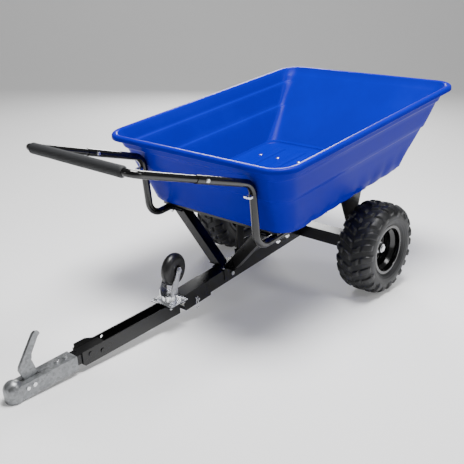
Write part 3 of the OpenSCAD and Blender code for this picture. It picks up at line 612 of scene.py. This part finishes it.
def closed_piece(name: str, grid: np.ndarray, ring: bool, material: Any,
                 smooth_angle: float) -> Any:
    """Makes a closed piece from a grid whose columns join up.

    Args:
        name: the piece's name.
        grid: array (u, v, 3) in metres.
        ring: whether the rows join up too; if not, a face closes each end.
        material: its finish.
        smooth_angle: the sharpest angle between faces that shades smooth, in degrees.
    Returns:
        The new object.
    """
    mesh = grid_mesh(name, grid, ring, True)
    if not ring:
        close_ends(mesh)
    tidy_mesh(mesh)
    return add_piece(name, mesh, material, smooth_angle)


def lathe(profile: np.ndarray, steps: int) -> np.ndarray:
    """Turns a closed profile about Z: each point goes round at its own radius.

    Args:
        profile: array (n, 2) of radius and height.
        steps: points round the axis.
    Returns:
        Array (steps, n, 3).
    """
    turn = np.linspace(0, 2 * np.pi, steps, endpoint=False)[:, None]
    r, h = profile[None, :, 0], profile[None, :, 1]
    return np.stack([r * np.cos(turn), r * np.sin(turn), h + 0 * turn], -1)


def smooth_loop(points: Sequence[Sequence[float]], radius: float, steps: int) -> np.ndarray:
    """Rounds each corner of a closed polygon.

    Each corner is replaced by a quadratic curve that starts and ends at most
    radius away from it along its two sides.

    Args:
        points: the corners.
        radius: the most that a corner is cut back.
        steps: curve points per corner.
    Returns:
        Array of rounded points.
    """
    p = np.array(points, float)
    before, after = np.roll(p, 1, 0) - p, np.roll(p, -1, 0) - p
    lb = np.linalg.norm(before, axis=1, keepdims=True)
    la = np.linalg.norm(after, axis=1, keepdims=True)
    cut = np.minimum(radius, 0.42 * np.minimum(lb, la))
    a, b = p + before / lb * cut, p + after / la * cut
    t = np.linspace(0, 1, steps)[None, :, None]
    curve = (1 - t) ** 2 * a[:, None] + 2 * t * (1 - t) * p[:, None] + t**2 * b[:, None]
    return curve.reshape(-1, p.shape[1])


def soft_step(value: np.ndarray, steepness: float, top: float = 1.0) -> np.ndarray:
    """A step from 0 to top at value 0, rounded: top over one plus e to minus the steep value."""
    return top / (1 + np.exp(-value * steepness))


# ---- wheels ----


@dataclass
class KnobblyTyre:
    """An off-road tyre: a rounded carcass with slanting lugs on both halves of its tread."""

    side: str
    centre: np.ndarray
    radius: float = 0.2049
    base: float = 0.1965
    widest: float = 0.0888
    bead: float = 0.1015
    skin: float = 0.011
    pitches: int = 22
    around: int = 528
    across: int = 121
    ring_radii: tuple[float, ...] = (0.122, 0.131, 0.143)
    ring_height: float = 0.0012
    ring_width: float = 0.0016

    def section(self) -> np.ndarray:
        """Draws the carcass from the inner bead over the tread to the outer bead.

        Returns:
            Array of (sideways, radius), evenly spaced and smoothed by averaging neighbours.
        """
        half = np.array([
            [0.0, self.base], [0.020, self.base], [0.042, self.base - 0.001],
            [0.058, self.base - 0.004], [0.070, self.base - 0.011], [0.079, self.base - 0.022],
            [0.0845, 0.160], [0.0855, 0.148], [0.0835, 0.135], [0.0785, 0.124],
            [0.0735, 0.1165], [0.0705, 0.1135], [0.0675, 0.1135], [0.0675, self.bead]])
        full = np.concatenate([half[:0:-1] * [-1, 1], half])
        run = np.concatenate([[0], np.cumsum(np.linalg.norm(np.diff(full, axis=0), axis=1))])
        even = np.linspace(0, run[-1], self.across)
        path = np.stack([np.interp(even, run, full[:, k]) for k in (0, 1)], -1)
        for _ in range(3):
            path[1:-1] = (path[:-2] + 2 * path[1:-1] + path[2:]) / 4
        return path

    def lugs(self, turn: np.ndarray, across: np.ndarray, radial: np.ndarray) -> np.ndarray:
        """Height of the tread from 0 to 1.

        Each half carries bars that sweep back as they leave the middle. A bar is
        where a wave along the circumference, delayed by the distance from the
        middle, is above a level; the two halves are half a pitch apart, and every
        second bar runs further down the shoulder.

        Args:
            turn: angle round the wheel.
            across: sideways distance from the middle, in metres.
            radial: radius of the carcass there.
        Returns:
            Array of heights.
        """
        off = np.abs(across)
        reach = off / 0.08
        stagger = np.where(across > 0, 0.5, 0.0)
        phase = turn * self.pitches / (2 * np.pi) + stagger - 0.95 * reach + 0.25 * reach**2
        wave = np.cos(2 * np.pi * phase)
        bar = soft_step(wave + 0.04 - 0.25 * (1 - reach), 14)
        notch = 1 - soft_step(0.006 - np.abs(off - 0.040), 1400, 0.85)
        long_bar = 0.5 + 0.5 * np.sign(np.cos(np.pi * np.floor(phase + 0.5)))
        lowest = 0.172 - 0.013 * long_bar
        shoulder = soft_step(radial - lowest, 520)
        groove = soft_step(off - 0.004, 900)
        return bar * notch * shoulder * groove

    def build(self, paints: Paintbox) -> Any:
        """Makes the tyre.

        The outline goes round the axle, the lugs push it out along its own normal, and
        an inner outline closes it.

        Args:
            paints: the finishes.
        Returns:
            The piece.
        """
        path = self.section()
        turn = np.linspace(0, 2 * np.pi, self.around, endpoint=False)[:, None]
        along = np.gradient(path, axis=0)
        normal = np.stack([-along[:, 1], along[:, 0]], -1)
        normal /= np.linalg.norm(normal, axis=1, keepdims=True)
        y, r = path[None, :, 0], path[None, :, 1]
        depth = (self.radius - self.base) * self.lugs(turn, y + 0 * turn, r + 0 * turn)
        depth = depth + sum(self.ring_height * np.exp(-(((r - at) / self.ring_width) ** 2))
                            for at in self.ring_radii)
        yy = np.clip(y + normal[None, :, 0] * depth, -self.widest, self.widest)
        rr = np.minimum(r + normal[None, :, 1] * depth, self.radius)
        inner = path[::-6] * [0.90, 1.0]
        lining = np.maximum(inner[:, 1] - self.skin, self.bead)
        yy = np.concatenate([yy, inner[None, :, 0] + 0 * turn], 1)
        rr = np.concatenate([rr, lining[None, :] + 0 * turn], 1)
        grid = np.stack([rr * np.cos(turn), yy, rr * np.sin(turn)], -1) + self.centre
        piece = closed_piece(f"tyre_{self.side}_tread", grid, True, paints.get(Finish.TYRE), 50.0)
        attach(piece, f"wheel_{self.side}")
        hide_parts(f"tyre_{self.side}")
        return piece


@dataclass
class SteppedRim:
    """A pressed steel rim whose disc steps out to the hub, with rounded bends."""

    side: str
    centre: np.ndarray
    outward: float
    seat: float = 0.101
    flange: float = 0.112
    well_depth: float = 0.016
    sheet: float = 0.003
    bend: float = 0.0028
    around: int = 160

    def outline(self) -> list[tuple[float, float]]:
        """Draws the closed section: the outer face, then the inner face with the disc.

        Returns:
            Corners as (radius, outward distance).
        """
        t, s, f = self.sheet, self.seat, self.flange
        well = s - self.well_depth
        outer_face = [
            (s - t, -0.071), (f, -0.071), (f, -0.068), (s, -0.068), (s, -0.044), (well, -0.030),
            (well, 0.030), (s, 0.044), (s, 0.068), (f, 0.068), (f, 0.071), (s - t, 0.071),
            (s - t, 0.047), (well - t, 0.033)]
        disc_front = [
            (well - t, -0.003), (0.0795, -0.005), (0.074, -0.005), (0.071, 0.001), (0.063, 0.001),
            (0.058, 0.008), (0.047, 0.008), (0.042, 0.014), (0.0292, 0.014)]
        disc_back = [
            (0.0292, 0.011), (0.040, 0.011), (0.045, 0.005), (0.056, 0.005), (0.061, -0.002),
            (0.069, -0.002), (0.072, -0.008), (well - t, -0.008)]
        return outer_face + disc_front + disc_back + [(well - t, -0.033), (s - t, -0.047)]

    def build(self, paints: Paintbox) -> Any:
        """Carries the rim's rounded outline round the axle.

        Args:
            paints: the finishes.
        Returns:
            The piece.
        """
        turned = lathe(smooth_loop(self.outline(), self.bend, 5), self.around)
        grid = np.stack([turned[..., 0], self.outward * turned[..., 2], turned[..., 1]], -1)
        piece = closed_piece(f"rim_{self.side}_pressed", grid + self.centre, True,
                             paints.get(Finish.GLOSS), 60.0)
        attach(piece, f"wheel_{self.side}")
        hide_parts(f"rim_{self.side}")
        return piece


# ---- tub ----


@dataclass
class Outline:
    """A rounded rectangle in plan at one height of the tub, in millimetres."""

    rear: float
    front: float
    half: float
    corner_rear: float
    corner_front: float
    z: float

    def points(self, per_corner: int, per_side: int) -> np.ndarray:
        """Walks the outline: a quarter circle in each corner, a straight run between them.

        Args:
            per_corner: points in each corner.
            per_side: points on each side between corners.
        Returns:
            Array (n, 3) in millimetres.
        """
        quarter = np.linspace(0, np.pi / 2, per_corner)
        rf, rr = self.corner_front, self.corner_rear
        corners = [
            (self.front - rf, self.half - rf, rf, 0.0),
            (self.rear + rr, self.half - rr, rr, np.pi / 2),
            (self.rear + rr, -self.half + rr, rr, np.pi),
            (self.front - rf, -self.half + rf, rf, 3 * np.pi / 2)]
        arcs = [np.stack([x + r * np.cos(quarter + a), y + r * np.sin(quarter + a)], -1)
                for x, y, r, a in corners]
        t = np.linspace(0, 1, per_side + 2)[1:-1, None]
        parts: list[np.ndarray] = []
        for k in range(4):
            start, end = arcs[k][-1], arcs[(k + 1) % 4][0]
            parts += [arcs[k], start * (1 - t) + end * t]
        flat = np.concatenate(parts)
        return np.concatenate([flat, np.full((len(flat), 1), self.z)], 1)

    def shrunk(self, share: float, foot: float) -> "Outline":
        """The outline of a floor inside its foot, scaled about the floor's middle.

        Args:
            share: scale of the flat floor.
            foot: how far the rounded foot reaches in from this outline.
        Returns:
            The smaller outline.
        """
        mid, half_x = (self.front + self.rear) / 2, (self.front - self.rear) / 2 - foot
        return Outline(mid - half_x * share, mid + half_x * share, (self.half - foot) * share,
                       55 * share, 62 * share, self.z)


@dataclass
class MouldedTub:
    """The tub as one closed moulded shell, with a rolled rim, ledges and raised floor ribs.

    Sizes are in millimetres; slopes are how far the front, rear and side walls lean out.
    """

    place: Place
    length: float = 1340.0
    width: float = 986.0
    front: float = 705.0
    rim_z: float = 600.0
    floor_z: float = 272.0
    wall: float = 5.0
    lip: float = 24.0
    skirt: float = 22.0
    rim_corner: float = 104.0
    foot: float = 16.0
    slopes: tuple[float, float, float] = (108.0, 310.0, 86.0)
    ledge: float = 8.0
    ledges_at: tuple[float, float] = (0.495, 0.808)
    ledge_band: float = 0.016
    ribs: int = 5
    rib_width: float = 44.0
    rib_pitch: float = 129.0
    boss_depth: float = 8.0
    boss_pitch: float = 104.0

    def at(self, part: float, step: float, inset: float, lift: float = 0.0) -> Outline:
        """Outline of the wall. The rear wall is plain: ledges fade out in its corners.

        Args:
            part: height as a share of the wall, 0 at the floor.
            step: how many ledges lie below, which may be between whole numbers.
            inset: distance inwards from the outer face.
            lift: extra height.
        Returns:
            The outline there.
        """
        f, b, s = self.slopes
        out = step * self.ledge
        front = self.front - self.lip - f + (f - 2 * self.ledge) * part + out
        rear = self.front - self.length + self.lip + b * (1 - part)
        half = self.width / 2 - self.lip - s + (s - 2 * self.ledge) * part + out
        corner_front = 82 - 2 * part
        corner_rear = 70 - 34 * math.sin(math.pi * min(1.0, part * 1.05)) + 10 * part
        height = self.floor_z + (self.rim_z - self.floor_z) * part + lift
        return Outline(rear + inset, front - inset, half - inset,
                       max(12.0, corner_rear - inset * 0.6), max(20.0, corner_front - inset),
                       height)

    def rim_outline(self, inset: float, z: float) -> Outline:
        """Draws the rim at a distance inside its outer edge.

        Args:
            inset: that distance.
            z: its height.
        Returns:
            The outline.
        """
        corner = self.rim_corner - inset
        return Outline(self.front - self.length + inset, self.front - inset,
                       self.width / 2 - inset, corner, corner, z)

    def foot_rows(self, inset: float) -> list[Outline]:
        """Rounds the foot of one face of the wall: a quarter turn from the floor up.

        Args:
            inset: distance of that face from the outer one.
        Returns:
            The outlines, from the floor up.
        """
        rows: list[Outline] = []
        for k in range(1, 5):
            a = math.pi / 2 * k / 5
            inwards = inset + self.foot * (1 - math.sin(a)) * 0.9
            rows.append(self.at(0.0, 0, inwards, inset + self.foot * (1 - math.cos(a))))
        return rows

    def wall_rows(self, inset: float) -> list[Outline]:
        """Stacks outlines up one face of the wall, with a rounded kick at each ledge.

        Args:
            inset: distance inwards from the outer face.
        Returns:
            The outlines, from the floor up.
        """
        rows: list[Outline] = []
        edges = [0.0, *self.ledges_at, 1.0]
        last = len(self.ledges_at)
        for k in range(last + 1):
            low = edges[k] + (self.ledge_band if k else 0.05)
            high = edges[k + 1] - (self.ledge_band if k < last else 0.10)
            rows += [self.at(float(part), k, inset) for part in np.linspace(low, high, 6)]
            if k < last:
                rows += [self.at(edges[k + 1] + rise, k + share, inset)
                         for share, rise in ((0.12, -0.006), (0.5, 0.0), (0.88, 0.006))]
        return rows

    def rim_rows(self) -> list[Outline]:
        """Carries the rim from the top of the inner wall over its roll and under its lip.

        Returns:
            The outlines, from the inside outwards.
        """
        w, skirt = self.wall, self.skirt
        top = self.rim_outline(self.lip + w, self.rim_z)
        rows = [Outline(top.rear - out, top.front + out, top.half + out, top.corner_rear + out,
                        top.corner_front + out, self.rim_z - drop)
                for drop, out in ((9.0, 0.2), (5.0, 1.6), (2.0, 4.2), (0.5, 8.0))]
        roll = ((14.0, 0.0), (9.0, 0.6), (5.0, 2.4), (2.2, 5.2), (0.6, 9.0), (0.0, 13.0),
                (0.0, skirt - 2), (1.4, skirt), (w - 1.4, skirt), (w, skirt - 2), (w, w + 3),
                (w + 3, w), (self.lip - 4, w + 1), (self.lip - 0.5, w + 5))
        return rows + [self.rim_outline(inset, self.rim_z - drop) for inset, drop in roll]

    def shell(self) -> np.ndarray:
        """Stacks the outlines of the whole shell.

        They run from the inner floor's middle, up the inside, over the rim and down to
        the outer floor's middle.

        Returns:
            Grid (outline, point, 3) in millimetres.
        """
        w = self.wall
        inner_floor, outer_floor = self.at(0.0, 0, w, w), self.at(0.0, 0, 0.0)
        rows = [inner_floor.shrunk(share, self.foot) for share in (0.03, 0.3, 0.6, 0.85, 0.96)]
        rows += self.foot_rows(w) + self.wall_rows(w) + self.rim_rows()
        rows += self.wall_rows(0.0)[::-1] + self.foot_rows(0.0)[::-1]
        rows += [outer_floor.shrunk(share, self.foot) for share in (0.96, 0.6, 0.3, 0.03)]
        grid = np.stack([row.points(13, 32) for row in rows])
        outer = len(rows) // 2
        grid[outer:] = self.scalloped(grid[outer:])
        return grid

    def scalloped(self, grid: np.ndarray) -> np.ndarray:
        """Swells the foot of the outer side walls into a row of round bosses.

        The swelling is a half-wave along the length, raised to a soft power, times
        a fade that falls from full at the floor to none 70 mm above it, and times
        a fade that keeps the two end walls and the floor's middle plain.

        Args:
            grid: outer half of the shell, in millimetres.
        Returns:
            The swollen grid.
        """
        x, y, z = grid[..., 0], grid[..., 1], grid[..., 2]
        wave = np.abs(np.cos(np.pi * (x - 40) / self.boss_pitch)) ** 0.7
        rise = np.clip(1 - (z - self.floor_z - 12) / 58, 0, 1) ** 0.8
        reach = np.clip((np.abs(y) - 350) / 30, 0, 1)
        ends = np.clip((560 - x) / 40, 0, 1) * np.clip((x + 330) / 40, 0, 1)
        swell = self.boss_depth * wave * rise * reach * ends
        return np.stack([x, y + np.sign(y) * swell, z], -1)

    def rib(self, y: float) -> np.ndarray:
        """Stacks the rings of one floor rib.

        It is a long bar that rises steeply from its edge, rounds over and stays flat
        along its middle.

        Args:
            y: its distance from the middle.
        Returns:
            Grid (ring, point, 3) in millimetres.
        """
        f, b, _ = self.slopes
        rear = self.front - self.length + self.lip + b + 55
        front = self.front - self.lip - f - 60
        half = self.rib_width / 2
        base = self.floor_z + self.wall
        rings = []
        for inset, height in ((0.0, -1.0), (0.0, 0.4), (1.6, 3.6), (4.6, 6.2), (8.5, 7.0),
                              (half - 0.6, 7.2)):
            corner = max(0.4, half - 1 - inset)
            ring = Outline(rear + inset, front - inset, half - inset, corner, corner,
                           base + height).points(9, 30)
            ring[:, 1] += y
            rings.append(ring)
        return np.stack(rings)

    def build(self, paints: Paintbox) -> list[Any]:
        """Makes the shell and its ribs.

        Args:
            paints: the finishes.
        Returns:
            The pieces.
        """
        blue = paints.get(Finish.TUB)
        shell = self.place.put(self.shell() * MM)
        pieces = [closed_piece("tub_shell", shell, False, blue, 34.0)]
        for k in range(self.ribs):
            rib = self.place.put(self.rib((k - self.ribs // 2) * self.rib_pitch) * MM)
            pieces.append(closed_piece(f"floor_rib_{k + 1}", rib, False, blue, 48.0))
        for piece in pieces:
            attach(piece, "tub_frame")
            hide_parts("tub")
        return pieces


# ---- handle ----


@dataclass
class FoamGrip:
    """The foam sleeve on the handle's cross bar, with soft ends and a slight squash.

    Sizes are in millimetres.
    """

    place: Place
    at_x: float = 1193.0
    at_z: float = 728.0
    half: float = 248.5
    radius: float = 21.0
    bore: float = 13.8
    end_length: float = 9.0
    end_drop: float = 5.0

    def build(self, paints: Paintbox) -> Any:
        """Carries a sleeve's outline round the bar's axis.

        The radius wanders by a sum of two waves, and falls by a quarter circle at each end.

        Args:
            paints: the finishes.
        Returns:
            The piece.
        """
        y = np.linspace(-self.half, self.half, 61)
        wave = 0.5 * np.cos(y / 46.0) + 0.25 * np.sin(y / 17.0)
        end = np.clip((self.half - np.abs(y)) / self.end_length, 0, 1)
        r = self.radius - 0.6 + 0.35 * wave - self.end_drop * (1 - np.sqrt(1 - (1 - end) ** 2))
        outer = np.stack([r, y], -1)
        inner = np.array([[self.bore, self.half], [self.bore, -self.half]])
        turned = lathe(np.concatenate([outer, inner]), 56)
        across, along, up = turned[..., 0], turned[..., 2], turned[..., 1]
        grid = np.stack([across + self.at_x, along, up + self.at_z], -1)
        piece = closed_piece("foam_sleeve", self.place.put(grid * MM), True,
                             paints.get(Finish.FOAM), 50.0)
        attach(piece, "tub_frame")
        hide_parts("foam_grip")
        return piece


# ---- the rest of the metalwork ----


@dataclass
class Softened:
    """A CAD node whose edges get a small radius, as pressed and welded steel has."""

    node: str
    body: str
    finish: Finish
    radius: float

    def build(self, nodes: dict[str, Any], paints: Paintbox) -> Any:
        """Copies the node, merges its loose triangles and bevels its sharp edges.

        Args:
            nodes: the frame's nodes.
            paints: the finishes.
        Returns:
            The rounded piece, riding on its body.
        """
        mesh = nodes[self.node].data.copy()
        mesh.name = self.node + "_soft"
        work = bmesh.new()
        work.from_mesh(mesh)
        bmesh.ops.remove_doubles(work, verts=work.verts, dist=SAME_CAD_POINT)
        bmesh.ops.dissolve_limit(work, angle_limit=math.radians(FLAT_DEGREES),
                                 verts=work.verts, edges=work.edges)
        bmesh.ops.recalc_face_normals(work, faces=work.faces)
        work.to_mesh(mesh)
        work.free()
        piece = add_piece(self.node + "_soft", mesh, paints.get(self.finish), 32.0)
        if self.radius > 0:
            bevel = piece.modifiers.new("edge", "BEVEL")
            bevel.width = self.radius
            bevel.segments = 2
            bevel.limit_method = "ANGLE"
            bevel.angle_limit = math.radians(EDGE_DEGREES)
            bevel.harden_normals = True
            bevel.use_clamp_overlap = True
        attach(piece, self.body)
        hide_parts(self.node)
        return piece


EDGE_RADII: dict[float, tuple[str, ...]] = {
    0.003: ("axle_beam", "drawbar_beam", "coupler_body"),
    0.0025: ("coupler_lever",),
    0.0022: ("tongue_channel",),
    0.002: ("drawbar_nose", "strut_saddle", "strut_left", "strut_right", "bearer_front",
            "bearer_middle", "bearer_rear", "coupler_insert"),
    0.0015: ("rest_pads",),
    0.0012: ("latch_hook", "latch_bracket", "latch_striker"),
    0.001: ("caster_mount", "caster_plate", "coupler_latch", "pivot_lugs", "pivot_bracket_left",
            "pivot_bracket_right", "caster_tyre", "caster_hub", "spindle_nuts"),
    0.0009: ("caster_fork",),
    0.0008: ("wing_bolts", "tongue_bolts"),
    0.0006: ("caster_bolts", "coupler_bolts", "saddle_bolt", "caster_axle", "hitch_pin"),
    0.0005: ("frame_bolts", "floor_bolts", "joint_bolts"),
}


@dataclass
class Metalwork:
    """Every other CAD node: softened edges where steel is folded or cut, and its finish."""

    nodes: dict[str, Any]
    bodies: dict[str, list[str]]
    slots: dict[str, str]
    radii: dict[str, float] = field(default_factory=lambda: {
        node: radius for radius, names in EDGE_RADII.items() for node in names})

    def body_of(self, node: str) -> str:
        """Finds the body that a node belongs to."""
        return next(body for body, members in self.bodies.items() if node in members)

    def build(self, paints: Paintbox, done: Sequence[str]) -> list[Any]:
        """Finishes each node that no other class replaces.

        Args:
            paints: the finishes.
            done: nodes that another class replaces.
        Returns:
            The new pieces.
        """
        pieces = []
        for node in sorted(set(self.nodes) - set(done)):
            finish, radius = Finish(self.slots[node]), self.radii.get(node, 0.0)
            piece = Softened(node, self.body_of(node), finish, radius)
            pieces.append(piece.build(self.nodes, paints))
        return pieces


# ---- studio ----


@dataclass(frozen=True)
class Lamp:
    """A square lamp: its place in metres, its power in watts and its width in metres."""

    name: str
    at: tuple[float, float, float]
    power: float
    size: float


@dataclass
class Studio:
    """Pale floor, soft lamps and the camera."""

    eye: tuple[float, float, float] = (2.126, 1.9186, 1.359)
    yaw: float = 0.72251
    dip: float = 0.34902
    lens: float = 55.35
    aim: tuple[float, float, float] = (0.1, 0, 0.35)
    floor_glow: float = 0.16
    sky: float = 0.17
    lamps: tuple[Lamp, ...] = (
        Lamp("overhead", (-0.2, 0.5, 4.0), 330.0, 1.6),
        Lamp("side", (-1.6, 4.2, 3.2), 50.0, 1.2),
        Lamp("low", (4.2, -0.6, 1.6), 8.0, 0.8),
        Lamp("back", (-3.8, -3.2, 2.4), 140.0, 1.6))

    def floor(self) -> None:
        """Lays a wide floor: a flat run, then a quarter circle up into a far backdrop."""
        x = np.linspace(-14, 14, 29)
        turn = np.linspace(0.1, np.pi / 2, 10)
        depth = np.concatenate([np.linspace(-10, 6, 12), 6 + 3 * np.sin(turn)])
        rise = np.concatenate([np.zeros(12), 3 - 3 * np.cos(turn)])
        away = np.array([-math.cos(self.yaw), -math.sin(self.yaw), 0])
        aside = np.array([away[1], -away[0], 0])
        up = np.array([0, 0, 1.0])
        grid = x[:, None, None] * aside + depth[None, :, None] * away + rise[None, :, None] * up
        mesh = grid_mesh("studio_floor", grid, False, False)
        shader = Shader("pale floor")
        tone = shader.noise(3.0, 2.0)
        shader.set("Base Color", shader.blend(tone, (0.86, 0.86, 0.86), (0.88, 0.88, 0.88)))
        shader.set("Roughness", 0.8)
        shader.set("Emission Color", (1.0, 1.0, 1.0, 1.0))
        shader.set("Emission Strength", self.floor_glow)
        add_piece("studio_floor", mesh, shader.material, 40.0)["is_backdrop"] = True

    def light(self, lamp: Lamp) -> None:
        """Hangs a lamp, aimed at the cart's middle.

        Args:
            lamp: the lamp.
        """
        data = bpy.data.lights.new(lamp.name, "AREA")
        data.energy = lamp.power
        data.size = lamp.size
        hung = bpy.data.objects.new(lamp.name, data)
        hung.location = lamp.at
        aim = Vector(self.aim) - Vector(lamp.at)
        hung.rotation_euler = aim.to_track_quat("-Z", "Y").to_euler()
        bpy.context.scene.collection.objects.link(hung)

    def camera(self) -> None:
        """Adds the camera, which looks along its yaw and dips by its pitch."""
        data = bpy.data.cameras.new("view")
        data.lens = self.lens
        data.sensor_width = 36.0
        camera = bpy.data.objects.new("view", data)
        level = math.cos(self.dip)
        look = Vector((-math.cos(self.yaw) * level, -math.sin(self.yaw) * level,
                       -math.sin(self.dip)))
        camera.location = self.eye
        camera.rotation_euler = look.to_track_quat("-Z", "Y").to_euler()
        bpy.context.scene.collection.objects.link(camera)
        bpy.context.scene.camera = camera

    def build(self) -> None:
        """Sets the whole stage: camera, floor, sky and lamps."""
        self.camera()
        self.floor()
        world = bpy.data.worlds.new("soft white")
        world.use_nodes = True
        sky = world.node_tree.nodes["Background"]
        sky.inputs[0].default_value = (1, 1, 1, 1)
        sky.inputs[1].default_value = self.sky
        bpy.context.scene.world = world
        for lamp in self.lamps:
            self.light(lamp)


def corners() -> list[list[float]]:
    """The object's present bounding box as plain lists."""
    return [[float(v) for v in corner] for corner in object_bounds()]


def main() -> None:
    logging.basicConfig(level=logging.INFO, format="%(name)s %(message)s")
    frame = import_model()
    layout = Layout(frame)
    paints = Paintbox()
    record = frame["record"]
    slots = {s["node"]: s["material_slot"] for s in record["subparts"]}
    Studio().build()
    pieces: list[Any] = []
    done = ["tub", "foam_grip"]
    for side, centre, outward in zip(("left", "right"), layout.wheels, (1.0, -1.0)):
        pieces.append(KnobblyTyre(side, centre).build(paints))
        pieces.append(SteppedRim(side, centre, outward).build(paints))
        done += [f"tyre_{side}", f"rim_{side}"]
    pieces += MouldedTub(layout.cart).build(paints)
    pieces.append(FoamGrip(layout.cart).build(paints))
    metalwork = Metalwork(frame["nodes"], record["behaviour"]["bodies"], slots)
    pieces += metalwork.build(paints, done)
    for piece in pieces:
        log.info("%s: %d faces", piece.name, len(piece.data.polygons))


if __name__ == "__main__":
    main()
